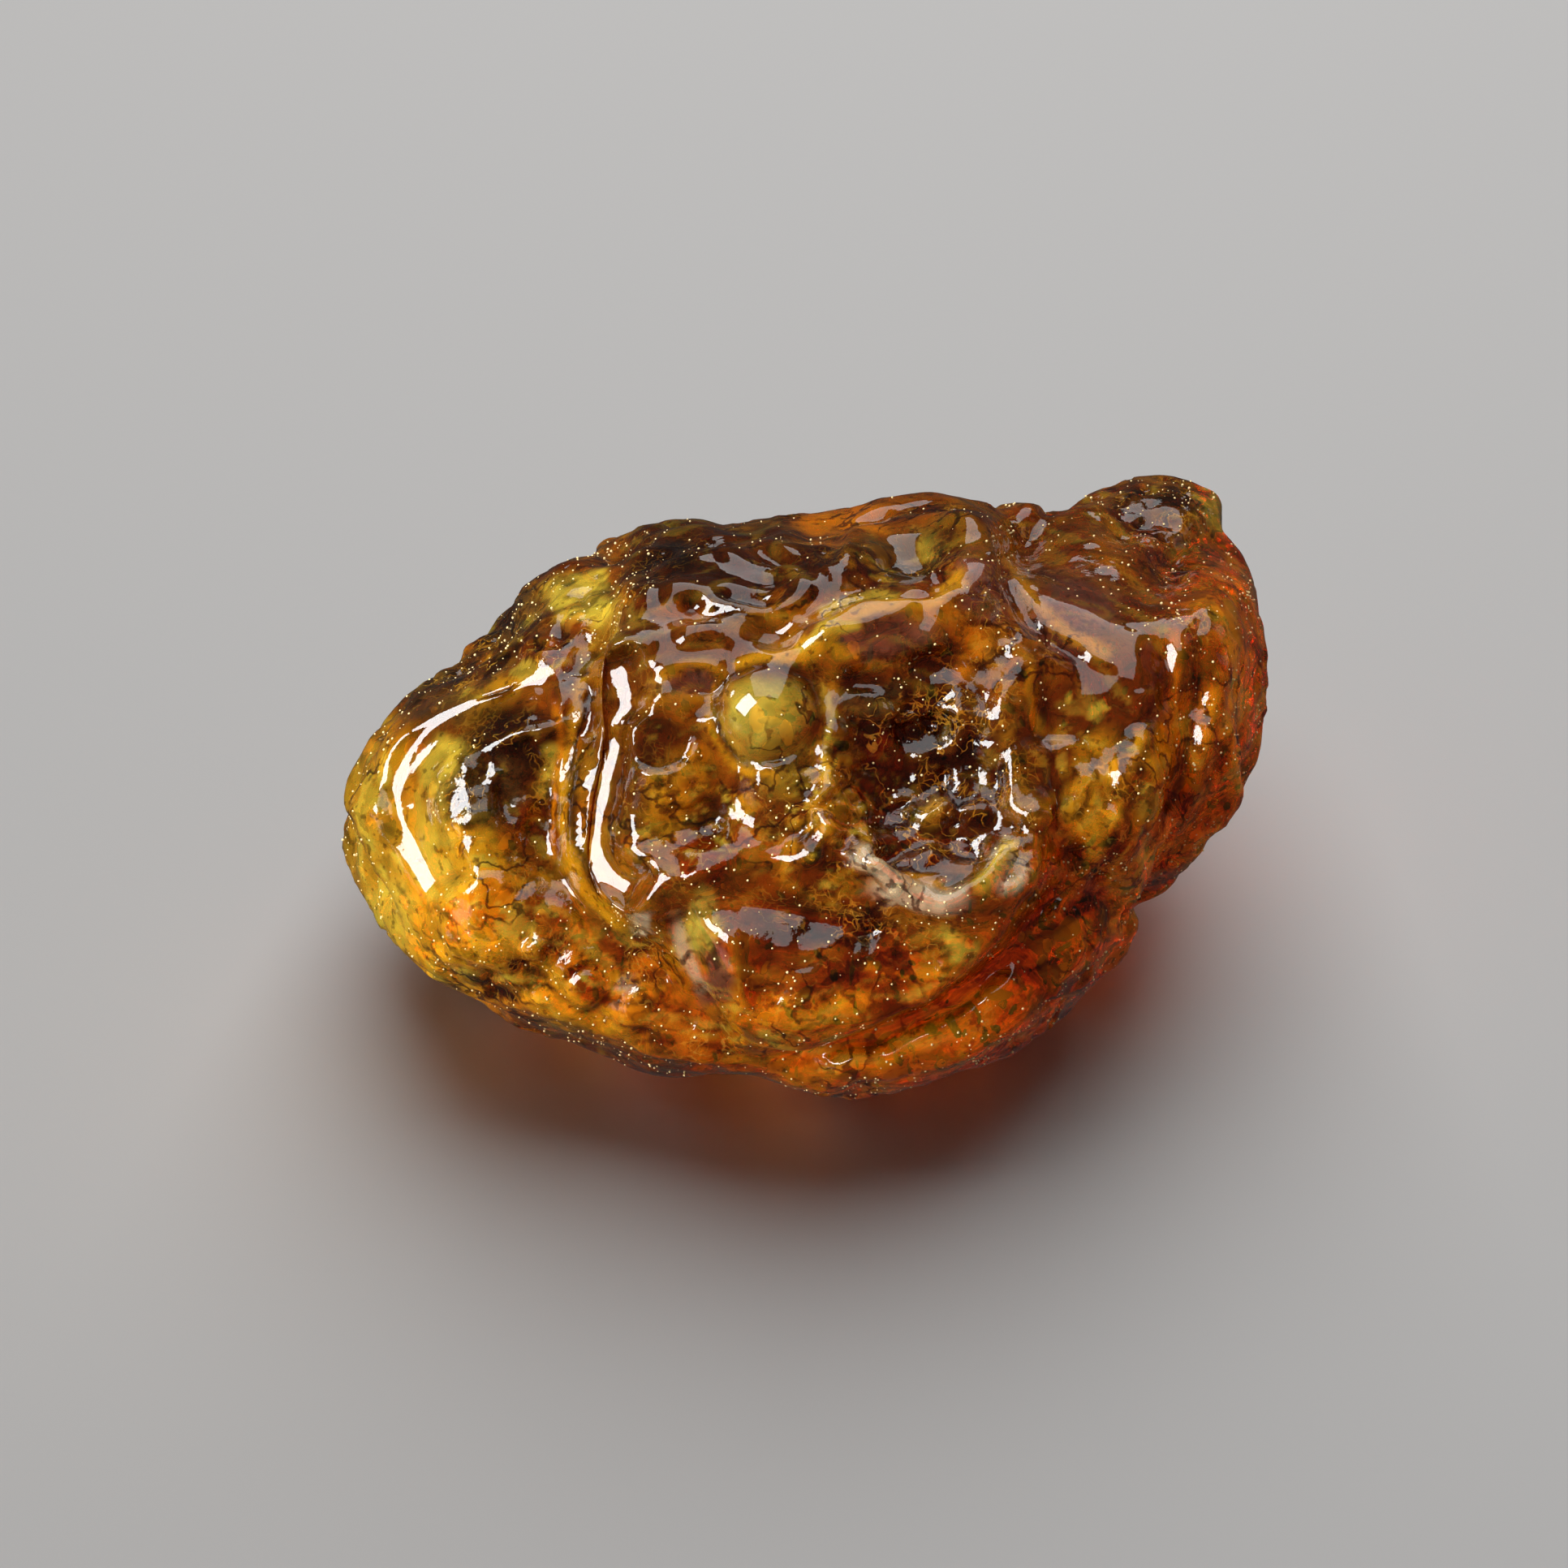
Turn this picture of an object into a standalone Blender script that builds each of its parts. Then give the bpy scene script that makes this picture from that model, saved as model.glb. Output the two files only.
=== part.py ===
"""A raw lump of amber: one natural solid that rests on a small worn flat of its underside.

World units are metres: +X runs along the lump, -Y is its front and +Z is up, with the
origin under the middle of its box. The layout below is in millimetres about the heart
of the lump, and SCALE turns it into metres.
"""
import math

import bmesh
import bpy
import numpy as np
from mathutils import Matrix, Vector, noise

# Driving dimensions
LENGTH = 66.4 * 0.001          # overall length in metres
SCALE = LENGTH / 66.4          # the layout below is 66.4 mm long
HEART_HEIGHT = 16.2            # heart of the lump above the flat it rests on
TRIANGLES = 9300               # budget of the finished solid
SPHERE_STEPS = 7               # icosphere subdivisions of the working surface
EYE_DISTANCE = 309.0           # relief is laid out as it shows from this far off
BLEND = 0.16                   # softness of the joins between lobes

# Lobes that make the body: centre, half sizes and squareness (2 is an ellipsoid)
LOBES = {
    "body": ((2.0, 1.5, 0.0), (25.0, 22.4, 15.8), 2.2),
    "left back": ((-13.0, 9.0, -0.5), (16.0, 12.0, 12.0), 2.2),
    "left base": ((-16.0, -3.0, -5.0), (15.0, 16.0, 10.5), 2.2),
    "right flank": ((17.0, 4.0, -0.5), (17.0, 18.0, 14.2), 2.0),
    "knob": ((25.5, 19.0, 5.5), (6.2, 6.0, 5.6), 2.0),
    "knob neck": ((20.0, 13.5, 3.5), (9.0, 8.5, 8.0), 2.0),
    "crown": ((2.0, 9.0, 6.5), (18.0, 12.0, 9.5), 2.0),
}
# Lobes of the front face, whose centres and half sizes run across, up and out of the face
FACE_LOBES = {
    "left lobe": ((-17.2, -2.6, 2.0), (14.6, 14.5, 13.0), 2.9),
    "plateau": ((1.6, 0.4, 3.0), (16.0, 16.9, 16.6), 2.9),
    "right shoulder": ((17.5, 2.0, 2.0), (14.5, 14.0, 13.2), 2.4),
    "chin": ((3.0, -12.2, 2.2), (11.8, 9.0, 14.4), 2.9),
}

# Outline of the front face, anticlockwise from the right
OUTLINE = [
    (34.4, 4.4), (34.4, 8.6), (33.6, 14.0), (32.5, 16.6), (31.4, 18.2), (31.5, 19.5), (30.8, 20.9),
    (29.0, 21.8), (26.7, 22.2), (24.3, 21.8), (21.8, 21.0), (19.8, 20.2), (16.9, 20.1), (13.5, 20.2),
    (10.0, 20.4), (6.6, 20.0), (2.0, 19.4), (-1.5, 18.9), (-5.0, 18.4), (-6.7, 18.8), (-9.6, 18.6),
    (-12.4, 17.5), (-15.9, 15.9), (-18.8, 13.9), (-21.1, 11.1), (-23.4, 9.0), (-26.9, 6.7),
    (-29.7, 3.5), (-31.2, 0.4), (-31.8, -2.0), (-31.5, -4.6), (-30.8, -6.7), (-29.7, -8.7),
    (-28.6, -10.6), (-26.9, -12.4), (-24.6, -14.2), (-21.7, -15.8), (-18.8, -17.5), (-15.3, -18.4),
    (-13.0, -19.3), (-10.7, -20.5), (-8.4, -21.0), (-5.0, -20.7), (-2.1, -20.7), (1.4, -21.8),
    (4.3, -22.5), (8.3, -21.8), (10.6, -21.0), (13.5, -20.3), (16.9, -19.0), (19.3, -17.2),
    (21.6, -14.9), (24.1, -12.9), (25.4, -10.3), (25.4, -8.9), (27.3, -7.7), (29.6, -5.1),
    (31.4, -3.1), (33.0, -0.5), (33.8, 1.5),
]

# Relief of the front face. Every line and centre is (across, up the face).
# Ridges and grooves: height or depth, width, line
FRONT_RIDGES = {
    "lobe shoulder": (1.0, 2.4, [(-14.4, 6.0), (-17.6, 5.7), (-21.0, 4.7), (-24.4, 2.9), (-25.9, 0.3),
                                 (-25.4, -2.6), (-23.8, -5.4), (-22.0, -8.0), (-19.4, -9.8)]),
    "lobe thread": (0.9, 0.9, [(-15.9, 2.8), (-15.8, 0.0), (-15.9, -3.0), (-16.0, -6.4)]),
    "plateau crest": (1.0, 2.2, [(-11.6, 11.4), (-10.8, 8.6), (-10.9, 5.6), (-11.7, 2.6), (-12.9, -0.5),
                                 (-13.7, -3.4), (-12.7, -6.2), (-10.2, -7.9), (-7.2, -8.6)]),
    "top band": (1.1, 1.2, [(-11.6, 13.4), (-10.2, 16.4), (-5.8, 16.6), (-2.6, 17.2), (0.2, 17.4),
                            (2.9, 16.7), (5.6, 17.2)]),
    "second band": (1.1, 1.2, [(-11.6, 11.2), (-9.6, 13.1), (-6.7, 14.2), (-3.9, 14.4), (-1.2, 13.0),
                               (0.6, 14.0), (3.6, 14.3), (5.6, 13.2)]),
    "third band": (0.8, 1.1, [(-11.2, 10.6), (-8.9, 9.7), (-6.2, 10.3), (-3.5, 10.9), (-1.1, 11.9)]),
    "cup rim": (1.6, 1.3, [(-3.2, 8.8), (0.6, 9.4), (3.4, 10.8), (7.2, 11.1), (10.9, 11.6), (13.2, 12.9),
                           (14.5, 15.0), (13.6, 17.4), (11.6, 18.4), (9.0, 18.6), (6.8, 17.6),
                           (5.4, 15.6)]),
    "hollow rim": (0.6, 1.4, [(14.8, 11.4), (16.2, 7.6), (17.0, 2.4), (17.4, -2.0), (17.2, -5.4)]),
    "hollow lip": (1.7, 1.2, [(17.8, -1.6), (16.9, -4.9), (15.0, -7.2), (12.0, -8.2), (8.6, -7.4),
                              (6.2, -5.4), (4.2, -3.2)]),
    "web": (1.1, 1.0, [(4.4, 5.6), (3.8, 3.0), (3.2, 0.4), (3.6, -2.4), (2.0, -4.8), (-0.6, -6.8)]),
    "flank fold": (0.7, 1.7, [(18.2, 14.8), (20.4, 12.6), (22.8, 10.8), (25.0, 8.6), (25.7, 5.0),
                              (24.8, 1.0), (24.9, -3.4)]),
    "flank rib": (0.9, 1.3, [(29.6, 13.8), (30.6, 8.4), (30.8, 4.0), (30.0, -0.6), (28.6, -4.4)]),
    "lower rib": (1.0, 1.4, [(17.2, -9.6), (19.6, -6.2), (21.6, -2.6), (22.2, 2.0)]),
    "skirt fold": (1.0, 1.2, [(-25.4, -10.6), (-21.0, -12.0), (-17.4, -15.4), (-13.0, -17.4)]),
    "skirt lip": (1.0, 1.1, [(-10.8, -17.6), (-7.0, -18.9), (-2.0, -20.4), (3.0, -20.9), (8.6, -19.8),
                             (14.0, -17.4), (18.6, -14.0)]),
    "chin ridge": (0.9, 1.3, [(-7.2, -9.4), (-3.4, -10.8), (0.6, -11.2), (4.8, -12.6)]),
}
FRONT_GROOVES = {
    "main fold": (2.3, 1.4, [(-11.6, 14.6), (-13.6, 10.6), (-14.1, 7.0), (-14.6, 3.4), (-15.3, -0.4),
                             (-15.7, -4.4), (-14.8, -8.2), (-11.8, -11.5), (-9.0, -14.4),
                             (-6.0, -17.0), (-2.5, -19.7)]),
    "seam": (1.5, 1.0, [(15.2, 18.4), (15.9, 15.6), (17.3, 12.8), (19.4, 10.4), (21.8, 8.8), (23.6, 6.8)]),
    "flank crease": (1.4, 1.2, [(19.8, 9.0), (18.8, 4.8), (19.2, -0.6), (19.8, -3.6), (22.4, -6.9),
                                (25.0, -9.2)]),
    "dark crease": (1.1, 0.9, [(26.0, 10.8), (27.2, 7.4), (28.0, 4.6), (27.7, 0.6), (28.4, -2.4)]),
    "knob saddle": (2.2, 2.3, [(16.1, 19.4), (18.7, 17.4), (22.1, 15.8), (26.2, 15.2), (29.6, 16.2)]),
    "chin crease": (1.7, 1.1, [(-3.2, -18.8), (0.6, -19.6), (4.6, -19.4), (8.6, -17.8), (13.2, -15.6),
                               (17.2, -12.0), (19.6, -8.0), (20.0, -4.6)]),
    "skirt crack": (1.0, 0.8, [(-22.4, -13.0), (-20.0, -14.6), (-16.8, -14.0), (-13.4, -15.6)]),
    "band trough": (1.1, 1.0, [(-10.4, 14.8), (-7.0, 15.6), (-3.4, 15.8), (0.0, 15.6), (3.4, 15.6)]),
    "gully": (1.2, 1.1, [(-8.8, 11.6), (-5.4, 12.4), (-1.8, 11.4), (1.8, 12.4), (5.0, 12.4)]),
    "chin gully": (1.1, 1.1, [(-5.6, -6.2), (-2.0, -8.4), (2.0, -9.2), (6.6, -10.2), (11.0, -10.8)]),
    "bubble moat": (0.7, 0.9, [(-4.9, 8.4), (-5.4, 5.0), (-4.5, 2.0), (-3.8, -1.2), (-2.4, -3.6)]),
    "left gully": (0.9, 1.0, [(-20.6, 9.8), (-18.2, 8.3), (-15.4, 8.6)]),
}
# Steps in the surface: height, width of the rise, reach of the raised side, which lies to
# the left of the line as it is followed.
FRONT_LEDGES = {
    "plateau edge": (2.4, 2.0, 6.5, [(-10.6, 14.4), (-13.0, 10.4), (-12.7, 6.8), (-13.1, 3.2), (-14.5, 0.0),
                                      (-15.1, -3.8), (-14.3, -6.9), (-11.2, -9.0), (-8.9, -10.4),
                                      (-7.0, -12.6), (-5.2, -15.6), (-1.9, -18.6), (2.6, -20.4)]),
    "chin lip": (1.6, 1.3, 5.0, [(-1.6, -19.4), (3.2, -18.9), (7.4, -17.0), (12.0, -14.6), (15.2, -11.4),
                                 (17.4, -7.7), (18.4, -3.6)]),
    "flank step": (1.2, 1.1, 6.0, [(25.6, -6.4), (26.4, -3.6), (26.9, 0.4), (26.2, 4.6), (27.4, 9.0)]),
}
# Swellings and hollows: centre, half sizes, height (a hollow's is negative)
FRONT_SPOTS = {
    "bubble foot": ((-0.4, 0.4), (3.0, 4.0), 1.2),
    "dark hollow": ((10.4, 1.2), (8.4, 7.4), -2.9),
    "hollow knuckle": ((8.0, 5.0), (2.4, 1.8), 1.0),
    "hollow step": ((12.4, -2.2), (3.0, 1.8), 1.0),
    "hollow pit": ((8.0, -1.6), (2.2, 2.4), -0.9),
    "hollow shelf": ((14.0, 3.4), (2.4, 3.4), 0.8),
    "hollow brow": ((13.6, 8.6), (3.6, 3.0), -0.9),
    "lobe fall": ((-15.2, -1.4), (6.4, 7.5), -2.6),
    "lobe boss": ((-21.6, -3.0), (3.4, 3.0), 0.7),
    "lobe root": ((-16.2, 5.0), (4.6, 2.6), 0.9),
    "slope fall": ((-26.0, 9.0), (9.0, 6.5), -2.2),
    "lobe belly": ((-21.2, -9.6), (4.6, 3.2), 0.9),
    "cup": ((9.4, 15.0), (4.2, 2.8), -1.9),
    "cup knuckle": ((8.4, 14.6), (1.5, 1.2), 0.9),
    "crown facet": ((-5.4, 7.4), (4.6, 2.2), -0.9),
    "plateau bead": ((-8.8, 2.6), (2.5, 2.6), 0.6),
    "plateau dip": ((-7.0, -3.4), (3.8, 3.0), -1.2),
    "plateau boss": ((-5.8, -5.8), (2.4, 1.8), 0.8),
    "chin boss": ((3.2, -14.6), (5.0, 3.4), 1.3),
    "chin dip": ((9.4, -12.8), (3.0, 2.0), -1.1),
    "chin knuckle": ((-3.2, -13.6), (2.2, 2.6), 0.9),
    "slope bead": ((-17.6, 9.2), (2.0, 1.7), 1.0),
    "slope pit": ((-20.8, 8.2), (2.2, 1.5), -1.0),
    "skirt bead": ((-15.0, -14.0), (1.9, 1.8), 0.6),
    "small skirt bead": ((-17.6, -11.9), (1.7, 1.6), 1.1),
    "skirt boss": ((-11.0, -16.2), (2.6, 1.8), 1.0),
    "flank facet": ((22.4, 4.4), (3.4, 4.4), -0.5),
    "flank boss": ((22.4, -6.4), (2.6, 2.8), 0.8),
    "low boss": ((20.6, -11.4), (3.0, 2.4), 1.1),
    "knob pit": ((24.4, 18.8), (1.9, 1.4), -1.0),
    "knob bead": ((28.6, 18.6), (2.2, 2.0), 0.8),
    "lower hollow": ((29.0, 0.2), (1.8, 3.2), -0.8),
}

# Round blisters: centre, radius, height
FRONT_BLISTERS = {
    "bubble": ((-1.2, 5.1), 3.4, 2.3),
    "slope blister": ((-14.8, 13.4), 2.3, 0.7),
    "skirt blister": ((-15.0, -14.0), 1.7, 1.0),
    "plateau blister": ((-8.9, 3.0), 2.1, 0.6),
}

# Smooth bands that all lean the same way: half width, radius across, line
FRONT_BANDS = {
    "lobe band": (1.9, 6.5, [(-16.0, 6.1), (-18.6, 5.7), (-21.4, 4.6), (-24.4, 2.9), (-26.2, 0.3),
                             (-26.0, -2.6), (-24.8, -5.4), (-23.4, -8.0)]),
    "crest band": (1.9, 10.0, [(-12.1, 9.8), (-11.4, 6.9), (-11.7, 4.0), (-12.9, 1.0), (-13.5, -2.0),
                              (-13.7, -4.4), (-12.0, -6.6), (-9.6, -8.3)]),
    "bubble heel": (0.9, 4.0, [(-5.2, 4.6), (-4.3, 2.8), (-3.2, 1.0)]),
    "chin band": (1.5, 7.0, [(-8.0, -9.0), (-6.9, -11.6), (-5.7, -14.4)]),
}
BAND_LEAN = np.array((0.38, -0.2))     # rise of a band's face, across and up the face
LEVEL_DRIFT = 1.6                      # most that a band may rise or fall on top of that
BAND_SHIFT = 1.3                       # most that the skin moves to meet a band

# Relief of the back, laid out as it shows from behind
BACK_RIDGES = {
    "back shoulder": (1.5, 2.0, [(-27.0, 5.0), (-20.0, 8.6), (-12.0, 9.4), (-4.0, 7.6), (3.0, 9.2),
                                 (11.0, 8.0)]),
    "back fold": (1.5, 1.6, [(-14.0, 2.0), (-8.0, -1.6), (-1.0, -2.4), (6.0, 0.6), (12.0, 0.0)]),
    "back rib": (1.1, 1.3, [(14.0, 10.0), (19.0, 5.4), (21.0, -0.6), (18.6, -6.6)]),
    "back hem": (1.2, 1.5, [(-22.0, -6.0), (-14.0, -9.6), (-5.0, -10.2), (4.0, -8.6), (12.0, -10.4)]),
}
BACK_GROOVES = {
    "back valley": (2.1, 1.6, [(-18.0, 12.6), (-15.4, 5.0), (-16.4, -1.4), (-13.0, -6.6), (-8.6, -12.0)]),
    "back crease": (1.5, 1.2, [(-10.0, 4.6), (-3.0, 2.8), (4.0, 4.4), (12.6, 3.4)]),
    "back split": (1.5, 1.0, [(10.4, 13.0), (13.4, 7.0), (15.6, 0.4), (13.6, -6.8), (15.0, -12.0)]),
    "back gully": (1.2, 1.1, [(20.0, 8.0), (24.2, 3.0), (25.6, -3.0)]),
}
BACK_LEDGES = {
    "back step": (2.0, 1.4, 8.0, [(-14.0, 0.4), (-7.0, -4.4), (0.0, -6.2), (8.0, -5.8), (17.0, -8.0)]),
}
BACK_SPOTS = {
    "back hollow": ((-2.0, 6.0), (5.4, 3.4), -2.0),
    "back cup": ((19.6, 1.6), (3.6, 4.2), -1.7),
    "back boss": ((6.6, -2.8), (3.6, 2.8), 1.6),
    "back bead": ((-9.0, 6.6), (2.3, 2.1), 1.3),
    "back pit": ((-21.4, 1.0), (3.0, 2.6), -1.5),
    "back knuckle": ((11.0, 4.6), (2.4, 2.2), 1.2),
    "low pit": ((0.6, -9.2), (3.6, 2.2), -1.2),
    "low bulge": ((-14.6, -7.4), (3.6, 2.6), 1.4),
}

# Relief of the two ends, laid out as each shows when it is faced
RIGHT_RIDGES = {
    "end rib": (1.2, 1.5, [(-14.0, 6.0), (-10.0, 1.0), (-9.0, -4.0), (-11.0, -9.0)]),
    "middle rib": (1.3, 1.7, [(-4.0, 11.0), (-2.0, 5.0), (-3.4, -1.0), (-1.0, -7.0), (-2.6, -12.0)]),
    "far rib": (1.1, 1.5, [(6.0, 10.0), (8.6, 4.0), (7.0, -2.0), (9.4, -8.0)]),
}
RIGHT_GROOVES = {
    "end crease": (1.5, 1.2, [(-9.0, 10.0), (-6.4, 4.0), (-6.8, -2.0), (-5.0, -8.0)]),
    "middle crease": (1.3, 1.1, [(1.0, 9.4), (2.6, 3.0), (1.6, -3.0), (4.6, -9.6)]),
    "far crease": (1.2, 1.1, [(11.6, 8.0), (12.4, 2.0), (14.6, -3.0)]),
}
RIGHT_SPOTS = {
    "end hollow": ((3.6, -1.6), (3.0, 4.0), -1.4),
    "end boss": ((-2.6, 3.2), (3.0, 2.4), 1.1),
    "end pit": ((10.2, 3.4), (2.2, 2.6), -1.1),
}
LEFT_RIDGES = {
    "left fold": (1.2, 1.6, [(-15.0, 4.0), (-8.0, 6.4), (-1.0, 4.6), (6.0, 6.0), (12.0, 3.0)]),
    "left hem": (1.1, 1.5, [(-12.0, -6.4), (-5.0, -5.0), (3.0, -7.4), (10.0, -5.4)]),
}
LEFT_GROOVES = {
    "left crease": (1.4, 1.2, [(-13.0, 0.6), (-6.0, 1.4), (1.0, -0.8), (8.0, 0.4), (13.0, -2.4)]),
    "left gash": (1.1, 1.0, [(-4.0, 10.0), (-6.0, 5.0), (-3.6, -1.0), (-5.4, -9.0)]),
}
LEFT_SPOTS = {
    "left cup": ((6.4, -2.8), (3.6, 2.6), -1.3),
    "left boss": ((-8.6, -2.4), (3.2, 2.6), 1.2),
    "left bead": ((2.6, 2.6), (2.1, 1.9), 1.0),
}

# Unplanned unevenness: wavelength, height
ROLLING = (9.0, 0.8)
LUMPS = (3.8, 0.6)
CREASES = (7.0, 0.95)
CREASE_STRETCH = (0.55, 1.0, 1.15)     # creases run along the lump
BEND = Vector((0.3, 0.5, 0.5))         # how far the creases wander
CALM_FRONT = 0.5                       # share of the unevenness left on the front face
CALM_UNDERSIDE = 0.25                  # and underneath, where the lump is worn
NOISE_SEED = Vector((17.3, 4.1, 9.7))

AMBER = {"Base Color": (0.34, 0.11, 0.015, 1.0), "Roughness": 0.12, "Metallic": 0.0}


def smooth_step(low, high, value):
    ramp = np.clip((value - low) / (high - low), 0.0, 1.0)
    return ramp * ramp * (3.0 - 2.0 * ramp)


def face_axes(azimuth, elevation):
    """Across, up and outward directions of a layout plane that faces the given way."""
    turn, lift = math.radians(azimuth), math.radians(elevation)
    outward = np.array([math.sin(turn) * math.cos(lift), -math.cos(turn) * math.cos(lift), math.sin(lift)])
    across = np.array([math.cos(turn), math.sin(turn), 0.0])
    return across, np.cross(outward, across), outward


FRONT = face_axes(0.0, 40.0)
BACK = face_axes(180.0, 22.0)
RIGHT = face_axes(82.0, 2.0)
LEFT = face_axes(-88.0, 0.0)
RELIEF = (
    (FRONT, (FRONT_RIDGES, FRONT_GROOVES, FRONT_LEDGES, FRONT_SPOTS, FRONT_BLISTERS), -0.05, 0.35),
    (BACK, (BACK_RIDGES, BACK_GROOVES, BACK_LEDGES, BACK_SPOTS, {}), 0.1, 0.45),
    (RIGHT, (RIGHT_RIDGES, RIGHT_GROOVES, {}, RIGHT_SPOTS, {}), 0.35, 0.7),
    (LEFT, (LEFT_RIDGES, LEFT_GROOVES, {}, LEFT_SPOTS, {}), 0.35, 0.7),
)


def laid_out(points, face):
    """Places of points on the layout plane, as they show from EYE_DISTANCE."""
    across, up, outward = face
    nearness = EYE_DISTANCE / (EYE_DISTANCE - points @ outward)
    return np.column_stack((points @ across * nearness, points @ up * nearness))


def lobe_field(points):
    """1 on the joined surface of the lobes, more inside and less outside."""
    field = np.zeros(len(points))
    in_face = np.column_stack([points @ axis for axis in FRONT])
    for lobes, places in ((LOBES, points), (FACE_LOBES, in_face)):
        for centre, halves, squareness in lobes.values():
            offset = np.abs((places - centre) / np.array(halves))
            depth = 1.0 - (offset ** squareness).sum(axis=1) ** (1.0 / squareness)
            field += np.exp(depth / BLEND)
    return field


def blown_surface(directions):
    """Pushes each direction out to the joined surface of the lobes."""
    reach = np.full(len(directions), 46.0)
    outside = np.ones(len(directions), dtype=bool)
    step = 0.5
    while outside.any():
        field = lobe_field(directions * reach[:, None])
        outside = field < 1.0
        reach[outside] -= step
    inner, outer = reach.copy(), reach + step
    for _ in range(12):
        middle = (inner + outer) / 2
        solid = lobe_field(directions * middle[:, None]) >= 1.0
        inner = np.where(solid, middle, inner)
        outer = np.where(solid, outer, middle)
    return directions * inner[:, None]


def surface_normals(points, triangles):
    a, b, c = (points[triangles[:, corner]] for corner in range(3))
    facing = np.cross(b - a, c - a)
    normals = np.zeros_like(points)
    for corner in range(3):
        np.add.at(normals, triangles[:, corner], facing)
    return normals / np.linalg.norm(normals, axis=1)[:, None]


def smoothed(line, pieces=5):
    """Points of a Catmull-Rom curve through the line's own points."""
    knots = np.array([line[0], *line, line[-1]], dtype=float)
    curve = []
    for a, b, c, d in zip(knots, knots[1:], knots[2:], knots[3:]):
        for step in range(pieces):
            t = step / pieces
            curve.append(0.5 * (2 * b + (c - a) * t + (2 * a - 5 * b + 4 * c - d) * t * t
                                + (3 * b - a - 3 * c + d) * t ** 3))
    curve.append(knots[-1])
    return np.array(curve)


def measured_along(places, line):
    """Distance to a line, side of it (left is +1) and fraction of its length, for each place."""
    curve = smoothed(line)
    nearest = np.full(len(places), 1e9)
    side = np.ones(len(places))
    fraction = np.zeros(len(places))
    lengths = np.linalg.norm(np.diff(curve, axis=0), axis=1)
    starts = np.concatenate(([0.0], np.cumsum(lengths)))
    for start, end, length, travelled in zip(curve, curve[1:], lengths, starts):
        along = (end - start) / length
        offset = places - start
        t = np.clip(offset @ along, 0.0, length)
        gap = offset - t[:, None] * along
        distance = np.hypot(gap[:, 0], gap[:, 1])
        closer = distance < nearest
        cross = along[0] * offset[:, 1] - along[1] * offset[:, 0]
        nearest = np.where(closer, distance, nearest)
        side = np.where(closer, np.sign(cross), side)
        fraction = np.where(closer, (travelled + t) / starts[-1], fraction)
    return nearest, side, fraction


def end_taper(fraction, share=0.14):
    return smooth_step(0.0, share, fraction) * smooth_step(0.0, share, 1.0 - fraction)


def face_relief(places, ridges, grooves, ledges, spots, blisters):
    """Height that one face's relief adds at each place."""
    height = np.zeros(len(places))
    for crest, width, line in ridges.values():
        distance, _, fraction = measured_along(places, line)
        height += crest * np.exp(-(distance / width) ** 2) * end_taper(fraction)
    for depth, width, line in grooves.values():
        distance, _, fraction = measured_along(places, line)
        height -= depth / np.cosh(1.5 * distance / width) * end_taper(fraction)
    for rise, width, reach, line in ledges.values():
        distance, side, fraction = measured_along(places, line)
        signed = distance * side
        raised = smooth_step(-0.5 * width, width, signed) * np.exp(-(np.maximum(signed, 0) / reach) ** 2)
        height += rise * raised * end_taper(fraction)
    for centre, halves, rise in spots.values():
        radius = np.linalg.norm((places - centre) / np.array(halves), axis=1)
        height += rise * (1.0 - smooth_step(0.0, 1.0, radius) ** 0.9 * np.minimum(radius, 1.0))
    for centre, radius, rise in blisters.values():
        share = np.minimum(np.linalg.norm(places - centre, axis=1) / radius, 1.0)
        height += rise * np.sqrt(1.0 - share ** 2)
    return height


def unevenness(points, normals):
    """Rolling swells, lumps and long creases that cover the whole lump."""
    height = np.empty(len(points))
    stretch = Vector(CREASE_STRETCH)
    for index, point in enumerate(points):
        spot = Vector(point) + NOISE_SEED
        swell = noise.noise(spot / ROLLING[0])
        lump = noise.noise(spot / LUMPS[0] + NOISE_SEED)
        bend = noise.noise(spot / ROLLING[0] - NOISE_SEED) * BEND
        crease = 0.35 - abs(noise.noise(spot * stretch / CREASES[0] + bend))
        height[index] = ROLLING[1] * swell + LUMPS[1] * lump + CREASES[1] * 2.0 * crease
    in_front = smooth_step(0.0, 0.5, normals @ FRONT[2])
    below = smooth_step(0.6, 0.95, -normals[:, 2])
    return height * (1.0 - (1.0 - CALM_FRONT) * in_front) * (1.0 - (1.0 - CALM_UNDERSIDE) * below)


def outline_radius(angles):
    """Radius of the wanted outline at each angle about the heart."""
    corners = np.array(OUTLINE)
    corner_angles = np.arctan2(corners[:, 1], corners[:, 0])
    order = np.argsort(corner_angles)
    return np.interp(angles, corner_angles[order], np.hypot(*corners.T)[order], period=2 * math.pi)


def fitted_to_outline(points, bins=180, hold=2.5):
    """Draws the rim of the front face out or in to OUTLINE, and the middle hardly at all."""
    places = laid_out(points, FRONT)
    angles = np.arctan2(places[:, 1], places[:, 0])
    radii = np.hypot(places[:, 0], places[:, 1])
    bin_angles = (np.arange(bins) + 0.5) / bins * 2 * math.pi - math.pi
    slots = np.minimum(((angles + math.pi) / (2 * math.pi) * bins).astype(int), bins - 1)
    rim = np.zeros(bins)
    np.maximum.at(rim, slots, radii)
    own = np.interp(angles, bin_angles, rim, period=2 * math.pi)
    share = np.clip(radii / own, 0.0, 1.0) ** hold
    scale = 1.0 + (outline_radius(angles) / own - 1.0) * share
    across, up, outward = FRONT
    flat = np.outer(points @ across * scale, across) + np.outer(points @ up * scale, up)
    return flat + np.outer(points @ outward, outward)


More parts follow.
